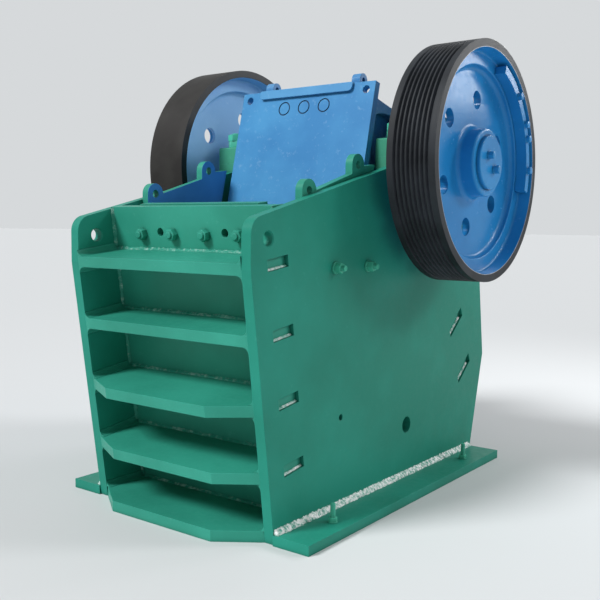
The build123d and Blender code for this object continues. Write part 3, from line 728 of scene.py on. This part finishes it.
# The plain flywheel: a brown-black tread, and a lumpy dish whose face on the side of the chamber
# is painted pale as a painted sheen
SHEEN_PAINTED_WHEEL = Finish("sheen_painted_flywheel_enamel", CAST_BLUE_ENAMEL, corner_shade=0.80,
                    # Painted sheen: the dish's face on the side of the chamber is painted pale
                    over=((Inside(WHEEL_MIDDLE),
                           Enamel(colour="#9ACAF4", deep="#7CB2E4", dust_and_glint="#C8E0F6",
                                  grain_size=22 * MM, grain_depth=0.5 * MM)),
                          (Beyond(575 * MM),
                           TurnedMetal(colour="#2E2D2B", deep="#211F1E", roughness=0.55)),
                          (RimFace(558 * MM), RING_IRON)))

# Moulded rubber: near black and dull, a soft line round the shaft
RUBBER = Finish("seal_rubber",
                Enamel(colour="#1C1D20", deep="#141517", dust_and_glint="#3A3B3E", gloss=0.55))

# Turned steel: bright under its oil, with a highlight spread into a band
STEEL = Finish("turned_steel",
               TurnedMetal(colour="#A7A8AA", deep="#85878A", roughness=0.30, metallic=1.0),
               ior=METAL_IOR)

# Oil-tempered spring steel: a smooth dark grey skin, with a clear highlight along the wire
SPRING = Finish("oil_tempered_spring_steel",
                CastSteel(colour="#5A5D61", deep="#3D3F43", roughness=0.40,
                          pit_depth=0.05 * MM), ior=METAL_IOR)

# Manganese steel as it left the sand: dull and pitted, so the teeth show by their shade alone
MANGANESE = Finish("manganese_steel", CastSteel(colour="#5A5C5C", deep="#3C3D3F"),
                   ior=METAL_IOR)


def dress(finish: Finish, *names: str) -> None:
    """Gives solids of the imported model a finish.

    Args:
        finish: The finish that they get.
        names: The nodes' names.
    """
    for name in names:
        for slot in frame["nodes"][name].material_slots:
            slot.material = finish.material()
        log.info("%s: %s", name, finish.name)


# Forms that repeat


def put_in_scene(name: str, data: bpy.types.ID) -> bpy.types.Object:
    """Makes an object of a mesh, a light or a camera and puts it in the scene.

    Args:
        name: The object's name.
        data: The mesh, light or camera.

    Returns:
        The new object.
    """
    made = bpy.data.objects.new(name, data)
    bpy.context.scene.collection.objects.link(made)
    return made


def seat(place: Vector, direction: Vector, turn: float = 0.0) -> Matrix:
    """The matrix that puts a form at a place, its Z axis along direction, turned in degrees."""
    stand = direction.normalized().to_track_quat("Z", "Y").to_matrix().to_4x4()
    return Matrix.Translation(place) @ stand @ Matrix.Rotation(math.radians(turn), 4, "Z")


def round_shaft(x: float, radius: float, turn: float) -> Vector:
    """The point at this X and this far from the shaft's axis, turned up from +Y in degrees."""
    angle = math.radians(turn)
    return Vector((x, SHAFT.y + radius * math.cos(angle), SHAFT.z + radius * math.sin(angle)))


class Shape:
    """A mesh in the making, that takes several forms before it becomes one piece."""

    def __init__(self) -> None:
        """Starts an empty shape."""
        self.form = bmesh.new()

    def spun(self, outline: list[tuple[float, float]], where: Matrix, steps: int = 24) -> None:
        """Spins an outline about Z into a closed form.

        Args:
            outline: Points (radius, height), from the axis round to the axis or a closed loop.
            where: Where the form goes.
            steps: The number of sides.
        """
        turned = bmesh.new()
        dots = [turned.verts.new((radius, 0, height)) for radius, height in outline]
        edges = [turned.edges.new(pair) for pair in zip(dots, dots[1:])]
        bmesh.ops.spin(turned, geom=dots + edges, cent=(0, 0, 0), axis=(0, 0, 1),
                       angle=math.tau, steps=steps, use_merge=True)
        bmesh.ops.remove_doubles(turned, verts=turned.verts, dist=1e-6)
        self.join(turned, where)

    def hexagon(self, across: float, height: float, where: Matrix, chamfer: float = 0.12) -> None:
        """Adds a hexagon head or nut with its corners chamfered on top.

        Args:
            across: The width across flats.
            height: The height.
            where: Where its underside's middle goes.
            chamfer: The share of the height that the chamfer takes.
        """
        radius = across / math.sqrt(3)
        nut = bmesh.new()
        bmesh.ops.create_cone(nut, cap_ends=True, segments=6, radius1=radius, radius2=radius,
                              depth=height, matrix=Matrix.Translation((0, 0, height / 2)))
        rim = [edge for edge in nut.edges if all(v.co.z > height / 2 for v in edge.verts)]
        bmesh.ops.bevel(nut, geom=rim, offset=height * chamfer, segments=2, profile=0.5,
                        affect="EDGES", material=-1)
        self.join(nut, where)

    def join(self, other: bmesh.types.BMesh, where: Matrix) -> None:
        """Moves another mesh to its place and joins it to this shape.

        Args:
            other: The mesh, which is freed.
            where: Where it goes.
        """
        bmesh.ops.transform(other, matrix=where, verts=other.verts)
        bmesh.ops.recalc_face_normals(other, faces=other.faces)
        carrier = bpy.data.meshes.new("carrier")
        other.to_mesh(carrier)
        other.free()
        self.form.from_mesh(carrier)
        bpy.data.meshes.remove(carrier)

    def piece(self, name: str, finish: Finish, body: Body = Body.FRAME,
              crease: float = 32.0) -> bpy.types.Object:
        """Makes the shape a piece of the object.

        Args:
            name: The piece's name.
            finish: Its finish.
            body: The body that it rides on.
            crease: Edges that turn by more than this many degrees stay sharp.

        Returns:
            The new object.
        """
        mesh = bpy.data.meshes.new(name)
        self.form.to_mesh(mesh)
        self.form.free()
        mesh.shade_smooth()
        mesh.set_sharp_from_angle(angle=math.radians(crease))
        mesh.materials.append(finish.material())
        made = put_in_scene(name, mesh)
        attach(made, body.value)
        log.info("%s: %d faces on %s", name, len(mesh.polygons), body.value)
        return made


@dataclass(frozen=True)
class Bolt:
    """A bolt end: a washer, one or two hexagons and the threaded end above them."""

    across: float
    nut: float
    stud: float = 0.0
    reach: float = 0.0
    washer: float = 0.0
    washer_thick: float = 4 * MM
    washer_edge: float = 0.2
    nuts: int = 1
    next_nut_turn: float = 17.0
    pitch: float = 3 * MM
    root: float = 0.93
    tip: float = 0.80
    tip_height: float = 0.12

    def fasten(self, shape: Shape, place: Vector, direction: Vector, turn: float) -> None:
        """Adds the bolt end to a shape.

        Args:
            shape: The shape that gets it.
            place: The point on the clamped face.
            direction: The direction out of the face.
            turn: How far the first hexagon is turned, in degrees.
        """
        level = 0.0
        out = direction.normalized()
        if self.washer:
            level = self.washer_thick
            edge = level * self.washer_edge
            shape.spun([(0, 0), (self.washer, 0), (self.washer, level - edge),
                        (self.washer - edge, level), (0, level)], seat(place, out))
        for count in range(self.nuts):
            shape.hexagon(self.across, self.nut, seat(place + out * level, out,
                                                      turn + self.next_nut_turn * count))
            level += self.nut
        if self.reach:
            shape.spun(self.thread(), seat(place + out * level, out), steps=16)

    def thread(self) -> list[tuple[float, float]]:
        """The outline of the threaded end, which starts inside the nut.

        Returns:
            Points (radius, height) from the axis, up the thread and back to the axis.
        """
        turns = int(self.reach / self.pitch)
        end = turns * self.pitch
        point = end + self.stud * self.tip_height
        outline = [(0, -self.nut / 2)]
        for count in range(turns):
            foot = count * self.pitch
            outline += [(self.stud * self.root, foot), (self.stud, foot + self.pitch / 2)]
        return outline + [(self.stud * self.root, end), (self.stud * self.tip, point), (0, point)]

    def fasten_row(self, shape: Shape, places: list[Vector], direction: Vector, first: float,
                   step: float) -> None:
        """Adds a row of bolt ends, the first turned by first degrees, each next by step more."""
        for count, place in enumerate(places):
            self.fasten(shape, place, direction, first + step * count)


@dataclass(frozen=True)
class Bead:
    """A fillet weld in a corner between two plates."""

    leg: float
    style: BeadStyle = BeadStyle.CROWNED
    step: float = 5 * MM
    ripple: float = 13 * MM
    ripple_lag: float = 0.3
    swell: float = 0.04
    roughness: float = 0.13
    lumps_a_metre: float = 60.0
    grains_a_metre: float = 200.0
    spread: int = 5

    def lay(self, shape: Shape, start: Vector, end: Vector, wall_a: Vector,
            wall_b: Vector) -> None:
        """Lays the bead along a corner.

        Args:
            shape: The shape that gets it.
            start: Where the corner starts.
            end: Where it ends.
            wall_a: The direction from the corner along the first plate.
            wall_b: The direction from the corner along the second plate.
        """
        bead = bmesh.new()
        ring = [bead.verts.new(start)]
        for count in range(self.spread + 1):
            share = count / self.spread
            ring.append(bead.verts.new(start + self.edge(share, wall_a, wall_b)))
        cap = bead.faces.new(ring)
        run = end - start
        swept = bmesh.ops.extrude_face_region(bead, geom=[cap])
        moved = [one for one in swept["geom"] if isinstance(one, bmesh.types.BMVert)]
        bmesh.ops.translate(bead, verts=moved, vec=run)
        if self.style is BeadStyle.CROWNED:
            along = [edge for edge in bead.edges
                     if (edge.verts[0] in moved) != (edge.verts[1] in moved)]
            cuts = max(2, int(run.length / self.step))
            bmesh.ops.subdivide_edges(bead, edges=along, cuts=cuts)
            self.wrinkle(bead, start, run.normalized(), wall_a, wall_b)
        shape.join(bead, Matrix.Identity(4))

    def edge(self, share: float, wall_a: Vector, wall_b: Vector) -> Vector:
        """A point of the bead's cross-section, measured from the corner.

        Args:
            share: How far round it is, from 0 at the toe on wall_a to 1 at the toe on wall_b.
            wall_a: The direction along the first plate.
            wall_b: The direction along the second plate.

        Returns:
            The point.
        """
        if self.style is BeadStyle.COVED:
            turn = share * math.pi / 2
            return self.leg * (wall_a * (1 - math.sin(turn)) + wall_b * (1 - math.cos(turn)))
        crown = self.swell * math.sin(math.pi * share)
        return self.leg * (wall_a * (1 - share + crown) + wall_b * (share + crown))

    def wrinkle(self, bead: bmesh.types.BMesh, start: Vector, heading: Vector, wall_a: Vector,
                wall_b: Vector) -> None:
        """Moves the points of the bead's face in and out, as the ripples and lumps of a weld.

        The lumps are twice and the ripples a third as high as the grains. The points along the
        corner itself stay.

        Args:
            bead: The bead's mesh.
            start: Where the corner starts.
            heading: The direction of the corner's run.
            wall_a: The direction along the first plate.
            wall_b: The direction along the second plate.
        """
        for vert in bead.verts:
            away = vert.co - start
            across = away - heading * away.dot(heading)
            if across.length < self.leg * 0.1:
                continue
            middle = 1 - abs(across.dot(wall_a) - across.dot(wall_b)) / self.leg
            phase = math.tau * (away.dot(heading) / self.ripple + self.ripple_lag * middle)
            lumps = noise.noise(vert.co * self.lumps_a_metre) * 2
            grains = noise.noise(vert.co * self.grains_a_metre)
            vert.co += across * self.roughness * (lumps + grains + math.sin(phase) / 3)


# Sub-assemblies


class Assembly:
    """A sub-assembly: it dresses its solids and builds the pieces that they leave out."""

    def dress(self) -> None:
        """Gives its solids their finishes, where it has solids."""

    def build(self) -> None:
        """Builds the pieces that its solids leave out, where there are any."""


@dataclass
class WeldedFrame(Assembly):
    """The frame: side plates, front wall and ribs, rear wall and ribs, and feet."""

    rib_count: int = 4
    rib_pitch: float = 296 * MM
    rib_thick: float = 50 * MM
    wall_top: float = 1425 * MM
    foot_front: float = 934 * MM
    slot_start: float = 106 * MM
    slot_end: float = 245 * MM
    slot_depth: float = 20 * MM
    rear_wall_length: float = 560 * MM
    rear_rib_pitch: float = 304 * MM
    rear_rib_lift: float = 39.0
    rear_rib_length: float = 230 * MM
    rear_bead_length: float = 160 * MM
    ground_bead: Bead = Bead(leg=30 * MM, style=BeadStyle.COVED)
    seam_bead: Bead = Bead(leg=11 * MM, swell=0.02, roughness=0.20)
    slot_bead: Bead = Bead(leg=8 * MM, ripple=9 * MM, swell=0.14)
    foot_bead: Bead = Bead(leg=23 * MM, ripple=11 * MM, swell=0.08, roughness=0.14)
    bead_crease: float = 75.0

    def dress(self) -> None:
        """Gives the frame's solids their enamel."""
        dress(GREEN, "front_wall", "rear_wall", "rear_rib_upper", "rear_rib_lower", "rear_beam",
              "fixed_jaw_ledge", "toggle_seat")
        for number in range(self.rib_count + 1):
            dress(GREEN, f"front_rib_{number + 1}")
        for side in Side:
            dress(SHADED_PLATE_GREEN, f"side_plate_{side.word}", f"base_flange_{side.word}")

    def build(self) -> None:
        """Lays the weld beads."""
        self.front_welds()
        self.rear_welds()
        self.slot_welds()
        self.foot_welds()

    def front_welds(self) -> None:
        """Lays the beads of the ribbed front.

        Each rib is ground smooth to the side plates and welded to the wall behind it, and the
        wall is welded to the side plates in the bays between the ribs. The lowest rib lies flat
        on the ground.
        """
        smooth = Shape()
        rough = Shape()
        back = -WALL_SETBACK
        ends = [FRONT.level(self.wall_top, back)]
        for number in range(self.rib_count):
            for face in (1, -1):
                level = -number * self.rib_pitch + face * self.rib_thick / 2
                ends.append(level)
                self.seam_bead.lay(rough, FRONT.at(-PLATE_IN, level, back),
                                   FRONT.at(PLATE_IN, level, back), FRONT.up * face, FRONT.out)
                for side in Side:
                    x = side.value * PLATE_IN
                    self.ground_bead.lay(smooth, FRONT.at(x, level, 0), FRONT.at(x, level, back),
                                         side.inward, FRONT.up * face)
        foot_front, foot_back = FRONT.level(self.rib_thick, 0), FRONT.level(self.rib_thick, back)
        ends.append(foot_back)
        for side in Side:
            x = side.value * PLATE_IN
            for high, low in zip(ends[::2], ends[1::2]):
                self.seam_bead.lay(rough, FRONT.at(x, high, back), FRONT.at(x, low, back),
                                   side.inward, FRONT.out)
            self.ground_bead.lay(smooth, FRONT.at(x, foot_front, 0),
                                 FRONT.at(x, foot_back, back), side.inward, UP)
        self.seam_bead.lay(rough, FRONT.at(-PLATE_IN, foot_back, back),
                           FRONT.at(PLATE_IN, foot_back, back), UP, Vector((0, -1, 0)))
        smooth.piece("front_corner_welds", GREEN, crease=60)
        rough.piece("front_wall_welds", GLINTING_WELD, crease=self.bead_crease)

    def rear_rib_axes(self) -> tuple[Vector, Vector]:
        """The directions along a rear rib, to the back, and out of its upper face."""
        lift = math.radians(self.rear_rib_lift)
        return (Vector((0, math.cos(lift), math.sin(lift))),
                Vector((0, -math.sin(lift), math.cos(lift))))

    def rear_rib_half(self) -> float:
        """Half a rear rib's thickness, measured up the rear wall."""
        return self.rib_thick / 2 / math.cos(math.radians(self.rear_rib_lift - REAR.lean))

    def rear_rib_middles(self) -> tuple[float, float]:
        """How far up the rear wall the middles of its two ribs are."""
        return (self.rear_rib_pitch / 2, -self.rear_rib_pitch / 2)

    def rear_welds(self) -> None:
        """Lays the beads round the rear wall, its two ribs and the rear beam."""
        seams = Shape()
        back, above = self.rear_rib_axes()
        half = self.rear_rib_half()
        ends = [self.rear_wall_length / 2]
        for middle in self.rear_rib_middles():
            for face in (1, -1):
                level = middle + face * half
                ends.append(level)
                self.seam_bead.lay(seams, REAR.at(-PLATE_IN, level, 0),
                                   REAR.at(PLATE_IN, level, 0), REAR.up * face, back)
                for side in Side:
                    start = REAR.at(side.value * PLATE_IN, level, 0)
                    self.seam_bead.lay(seams, start, start + back * self.rear_rib_length,
                                       side.inward, above * face)
        ends.append(-self.rear_wall_length / 2)
        beam_low, beam_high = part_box("rear_beam")
        for side in Side:
            x = side.value * PLATE_IN
            for high, low in zip(ends[::2], ends[1::2]):
                self.seam_bead.lay(seams, REAR.at(x, high, 0), REAR.at(x, low, 0), side.inward,
                                   -REAR.out)
            corner = Vector((x, beam_high.y, beam_high.z))
            self.seam_bead.lay(seams, corner, Vector((x, beam_high.y, beam_low.z)), side.inward,
                               Vector((0, 1, 0)))
            self.seam_bead.lay(seams, corner, Vector((x, beam_low.y, beam_high.z)), side.inward,
                               UP)
        seams.piece("rear_welds", GLINTING_WELD, crease=self.bead_crease)

    def slot_welds(self) -> None:
        """Lays one bead along the end of each rib, in its slot in the side plate."""
        back, above = self.rear_rib_axes()
        for side in Side:
            plugs = Shape()
            x = side.value * (PLATE_OUT - self.slot_depth)
            for number in range(self.rib_count):
                level = -number * self.rib_pitch - self.rib_thick / 2
                self.slot_bead.lay(plugs, FRONT.at(x, level, -self.slot_start),
                                   FRONT.at(x, level, -self.slot_end), side.outward, FRONT.up)
            for middle in self.rear_rib_middles():
                start = REAR.at(x, middle - self.rear_rib_half(), 0)
                self.slot_bead.lay(plugs, start, start + back * self.rear_bead_length,
                                   side.outward, above)
            plugs.piece(f"slot_welds_{side.word}", HIGHLIT_SLOT_WELD, crease=self.bead_crease)

    def foot_welds(self) -> None:
        """Lays the bead between each side plate and its foot."""
        for side in Side:
            seam = Shape()
            x = side.value * PLATE_OUT
            self.foot_bead.lay(seam, Vector((x, -self.foot_front, FOOT_TOP)),
                               Vector((x, self.foot_front, FOOT_TOP)), side.outward, UP)
            seam.piece(f"foot_weld_{side.word}", HIGHLIT_FOOT_WELD, crease=self.bead_crease)


@dataclass
class FrameBolts(Assembly):
    """The bolts of the frame: through the front wall, the side plates and the feet."""

    wall_bolt: Bolt = Bolt(across=50 * MM, nut=30 * MM, stud=16 * MM, reach=8 * MM)
    wall_bolt_z: float = 1298 * MM
    wall_bolt_x: tuple[float, ...] = (-300 * MM, -100 * MM, 100 * MM, 300 * MM)
    cheek_bolt: Bolt = Bolt(across=44 * MM, nut=30 * MM, stud=14 * MM, reach=20 * MM,
                            washer=28 * MM, washer_thick=8 * MM)
    cheek_bolt_z: float = 1156 * MM
    cheek_bolt_y: tuple[float, ...] = (-504 * MM, -229 * MM)
    foot_stud: Bolt = Bolt(across=36 * MM, nut=20 * MM, stud=12 * MM, reach=60 * MM,
                           washer=22 * MM)
    foot_stud_x: float = 655 * MM
    foot_stud_y: tuple[float, ...] = (-650 * MM, 650 * MM)

    def build(self) -> None:
        """Fastens them."""
        wall = Shape()
        level = FRONT.level(self.wall_bolt_z, -WALL_SETBACK)
        places = [FRONT.at(x, level, -WALL_SETBACK) for x in self.wall_bolt_x]
        self.wall_bolt.fasten_row(wall, places, FRONT.out, first=11, step=23)
        wall.piece("front_wall_bolts", GREEN)
        for side in Side:
            liners = Shape()
            x = side.value * PLATE_OUT
            places = [Vector((x, y, self.cheek_bolt_z)) for y in self.cheek_bolt_y]
            self.cheek_bolt.fasten_row(liners, places, side.outward, first=8, step=31)
            liners.piece(f"liner_bolts_{side.word}", HIGHLIT_BRIGHT_GREEN)
            studs = Shape()
            x = side.value * self.foot_stud_x
            places = [Vector((x, y, FOOT_TOP)) for y in self.foot_stud_y]
            self.foot_stud.fasten_row(studs, places, UP, first=20, step=25)
            studs.piece(f"foundation_nuts_{side.word}", HIGHLIT_BRIGHT_GREEN)


@dataclass
class Liners(Assembly):
    """The liners of the chamber and the two jaw plates."""

    def dress(self) -> None:
        """Gives the liners their enamel and the moving jaw plate its cast surface."""
        for side in Side:
            dress(LINER, f"cheek_plate_upper_{side.word}", f"cheek_plate_lower_{side.word}")
        dress(GREEN, "fixed_jaw_plate")
        dress(MANGANESE, "moving_jaw_plate")


@dataclass
class Bearings(Assembly):
    """The bearing housings with their studs, cover bolts and shaft seals."""

    stud: Bolt = Bolt(across=78 * MM, nut=37 * MM, stud=24 * MM, reach=4 * MM, nuts=2,
                      pitch=4 * MM)
    stud_x: float = 525 * MM
    stud_reach: float = 290 * MM
    lug_top: float = 114 * MM
    cover_bolt: Bolt = Bolt(across=24 * MM, nut=10 * MM, washer=15 * MM,
                            washer_thick=2.5 * MM)
    cover_bolt_circle: float = 181 * MM
    cover_bolt_count: int = 8
    seal_x: float = 439 * MM
    seal_bore: float = 150.5 * MM
    seal_radius: float = 196 * MM
    seal_lip: float = 190 * MM
    seal_shoulder: float = 6 * MM
    seal_depth: float = 10 * MM

    def dress(self) -> None:
        """Gives the housings their enamel."""
        for side in Side:
            dress(CAST_GREEN, f"bearing_base_{side.word}", f"bearing_cap_{side.word}",
                  f"bearing_cover_{side.word}")

    def build(self) -> None:
        """Fastens the studs of the caps and the bolts of the covers, and fits the seals."""
        for side in Side:
            studs = Shape()
            places = [Vector((side.value * self.stud_x, SHAFT.y + reach, SHAFT.z + self.lug_top))
                      for reach in (-self.stud_reach, self.stud_reach)]
            self.stud.fasten_row(studs, places, UP, first=-6, step=40)
            studs.piece(f"bearing_studs_{side.word}", HIGHLIT_BRIGHT_GREEN)
            ring = Shape()
            places = [round_shaft(side.value * COVER_OUT, self.cover_bolt_circle,
                                  360 * (count + 0.5) / self.cover_bolt_count)
                      for count in range(self.cover_bolt_count)]
            self.cover_bolt.fasten_row(ring, places, side.outward, first=0, step=13)
            ring.piece(f"cover_bolts_{side.word}", HIGHLIT_BRIGHT_GREEN)
            seal = Shape()
            outline = [(self.seal_bore, 0), (self.seal_radius, 0),
                       (self.seal_radius, self.seal_shoulder), (self.seal_lip, self.seal_depth),
                       (self.seal_bore, self.seal_depth), (self.seal_bore, 0)]
            seal.spun(outline, seat(Vector((side.value * self.seal_x, SHAFT.y, SHAFT.z)),
                                    side.inward), steps=72)
            seal.piece(f"shaft_seal_{side.word}", RUBBER)


@dataclass
class Rotor(Assembly):
    """The shaft, the two flywheels, their balance weights and the end caps."""

    weight_bolt: Bolt = Bolt(across=36 * MM, nut=18 * MM, washer=21 * MM,
                             washer_thick=3 * MM)
    weight_bolt_circle: float = 516 * MM
    weight_bolt_turns: tuple[float, ...] = (46, 27, 18, -1)
    cap_bolt: Bolt = Bolt(across=36 * MM, nut=26 * MM, washer=22 * MM, washer_thick=5 * MM)
    cap_bolt_reach: float = 47 * MM
    cap_bolt_turns: tuple[float, ...] = (-45, 135)

    def dress(self) -> None:
        """Gives the rotor's solids their finishes."""
        dress(STEEL, "eccentric_shaft")
        dress(WHEEL, "pulley_flywheel")
        dress(SHEEN_PAINTED_WHEEL, "plain_flywheel")
        for side in Side:
            dress(CAST_BLUE, f"counterweight_{side.word}", f"shaft_cap_{side.word}")

    def build(self) -> None:
        """Fastens the balance weights and the end caps."""
        for side in Side:
            weights = Shape()
            face = side.outer_face(f"counterweight_{side.word}")
            for turn in self.weight_bolt_turns:
                place = round_shaft(face, self.weight_bolt_circle, turn)
                self.weight_bolt.fasten(weights, place, side.outward, turn)
            weights.piece(f"counterweight_bolts_{side.word}", CAST_BLUE, Body.ROTOR)
            caps = Shape()
            face = side.outer_face(f"shaft_cap_{side.word}")
            places = [round_shaft(face, self.cap_bolt_reach, turn)
                      for turn in self.cap_bolt_turns]
            self.cap_bolt.fasten_row(caps, places, side.outward, first=10, step=22.5)
            caps.piece(f"shaft_cap_bolts_{side.word}", CAST_BLUE, Body.ROTOR)


@dataclass
class SwingJaw(Assembly):
    """The swing jaw with its guard plate, its clamp bar, the tension rod and its spring."""

    wire_radius: float = 11 * MM
    wire_sides: int = 16
    end_turns: float = 0.75
    open_turns: float = 4.5
    turn_steps: int = 36
    end_gap: float = 0.4 * MM
    clearance: float = 1.5 * MM

    def dress(self) -> None:
        """Gives the jaw's solids their finishes."""
        dress(BLUE, "guard_plate")
        dress(BAR_BLUE, "clamp_bar")
        dress(DUSTY_GLINTING_BLUE, "swing_jaw")
        dress(CAST_BLUE, "toggle_plate")
        dress(STEEL, "tension_rod", "spring_washer")
        dress(SPRING, "tension_spring")

    def build(self) -> None:
        """Winds the tension spring's coil as one fixed piece; the real spring shortens as the jaw
        swings towards the front.
        """
        low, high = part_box("tension_spring")
        middle = (low + high) / 2
        radius = (high.x - low.x) / 2 - self.wire_radius
        length = high.y - low.y
        end_rise = self.end_turns * 2 * self.wire_radius + self.end_gap
        open_rise = length - 2 * self.wire_radius - 2 * end_rise
        wire = bmesh.new()
        start = Matrix.Translation((radius, 0, self.wire_radius))
        bmesh.ops.create_circle(wire, cap_ends=True, segments=self.wire_sides,
                                radius=self.wire_radius,
                                matrix=start @ Matrix.Rotation(math.pi / 2, 4, "X"))
        last = list(wire.verts) + list(wire.edges) + list(wire.faces)
        for turns, rise in ((self.end_turns, end_rise), (self.open_turns, open_rise),
                            (self.end_turns, end_rise)):
            steps = round(turns * self.turn_steps)
            turned = bmesh.ops.spin(wire, geom=last, cent=(0, 0, 0), axis=(0, 0, 1),
                                    dvec=(0, 0, rise / steps), angle=math.tau * turns,
                                    steps=steps)
            last = turned["geom_last"]
        coil = Shape()
        coil.join(wire, seat(Vector((middle.x, low.y, middle.z)), Vector((0, 1, 0))))
        spring = coil.piece("tension_coil", SPRING, crease=60)
        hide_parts("tension_spring")
        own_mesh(spring)


@dataclass
class Studio:
    """The floor, the lamps, the sky and the camera."""

    azimuth: float = 36.517
    elevation: float = 5.021
    roll: float = 0.63
    place: tuple[float, float, float] = (2.6612, -3.6200, 1.3399)
    focal_px: float = 835.5
    image_px: float = 600.0
    sensor: float = 36.0
    floor_colour: str = "#D6D9DB"
    floor_roughness: float = 0.8
    floor_size: float = 400.0
    sky_light: float = 0.31
    lamp_aim: float = 1.1

    def build(self) -> None:
        """Makes all of it."""
        self.floor()
        self.sky()
        self.sun("front_key", toward=(-0.45, -1.0, 1.0), strength=2.9, spread=16)
        self.sun("side_key", toward=(3.45, 2.6, 2.6), strength=0.78, spread=14)
        self.lamp("fill", place=(3.4, -1.6, 3.4), size=1.8, power=2)
        self.lamp("window", place=(2.5, 3.5, 3.0), size=1.1, power=20)
        self.lamp("rim", place=(1.2, 4.6, 3.9), size=0.8, power=50)
        self.camera()
        bpy.context.scene.view_settings.view_transform = "Standard"

    def floor(self) -> None:
        """Makes the pale floor, matt enough to show no reflections."""
        sheet = bmesh.new()
        bmesh.ops.create_grid(sheet, x_segments=1, y_segments=1, size=self.floor_size / 2)
        mesh = bpy.data.meshes.new("studio_floor")
        sheet.to_mesh(mesh)
        sheet.free()
        paint = bpy.data.materials.new("studio_floor")
        paint.use_nodes = True
        shader = paint.node_tree.nodes["Principled BSDF"]
        shader.inputs["Base Color"].default_value = linear(self.floor_colour)
        shader.inputs["Roughness"].default_value = self.floor_roughness
        mesh.materials.append(paint)
        put_in_scene("studio_floor", mesh)

    def sky(self) -> None:
        """Makes the world: soft light, and a pale backdrop that gloss shows too."""
        world = bpy.data.worlds.new("studio")
        bpy.context.scene.world = world
        world.use_nodes = True
        tree = world.node_tree
        light = tree.nodes["Background"]
        light.inputs["Color"].default_value = WHITE
        light.inputs["Strength"].default_value = self.sky_light
        seen = add_node(tree, "Background", {"Color": linear(self.floor_colour), "Strength": 1.0})
        path = add_node(tree, "LightPath", {})
        mirrored = add_node(tree, "Math",
                            {0: path.outputs["Is Glossy Ray"],
                             1: path.outputs["Is Transmission Ray"]}, operation="MAXIMUM")
        shown = add_node(tree, "Math", {0: path.outputs["Is Camera Ray"], 1: mirrored},
                         operation="MAXIMUM")
        both = add_node(tree, "MixShader", {0: shown, 1: light, 2: seen})
        tree.links.new(both.outputs[0], tree.nodes["World Output"].inputs["Surface"])

    def sun(self, name: str, toward: tuple[float, float, float], strength: float,
            spread: float) -> None:
        """Hangs a key light, so far off that it lights the floor evenly.

        Args:
            name: The light's name.
            toward: The direction that it comes from.
            strength: Its strength in watts a square metre.
            spread: How wide it is, in degrees, which softens its shadows.
        """
        light = bpy.data.lights.new(name, "SUN")
        light.energy = strength
        light.angle = math.radians(spread)
        lamp = put_in_scene(name, light)
        lamp.rotation_euler = Vector(toward).to_track_quat("Z", "Y").to_euler()

    def lamp(self, name: str, place: tuple[float, float, float], size: float,
             power: float) -> None:
        """Hangs one soft lamp that points at the middle of the machine.

        Args:
            name: The lamp's name.
            place: Where it hangs.
            size: The side of its square.
            power: Its power in watts.
        """
        light = bpy.data.lights.new(name, "AREA")
        light.size = size
        light.energy = power
        lamp = put_in_scene(name, light)
        lamp.location = place
        aim = Vector((0, 0, self.lamp_aim)) - Vector(place)
        lamp.rotation_euler = aim.to_track_quat("-Z", "Y").to_euler()

    def camera(self) -> None:
        """Sets the camera as it stood for the photograph."""
        lens = bpy.data.cameras.new("camera")
        lens.sensor_width = self.sensor
        lens.lens = self.focal_px * self.sensor / self.image_px
        camera = put_in_scene("camera", lens)
        turn, rise = math.radians(self.azimuth), math.radians(self.elevation)
        back = Vector((math.sin(turn) * math.cos(rise), -math.cos(turn) * math.cos(rise),
                       math.sin(rise)))
        right = Vector((math.cos(turn), math.sin(turn), 0))
        up = back.cross(right)
        tilt = Matrix.Rotation(math.radians(self.roll), 3, back)
        axes = Matrix((tilt @ right, tilt @ up, back)).transposed()
        camera.matrix_world = Matrix.Translation(self.place) @ axes.to_4x4()
        bpy.context.scene.camera = camera


def main() -> None:
    """Builds the scene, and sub-assembly by sub-assembly."""
    logging.basicConfig(level=logging.INFO, format="%(name)s: %(message)s")
    for part in (WeldedFrame(), FrameBolts(), Liners(), Bearings(), Rotor(), SwingJaw()):
        part.dress()
        part.build()
    Studio().build()


if __name__ == "__main__":
    main()
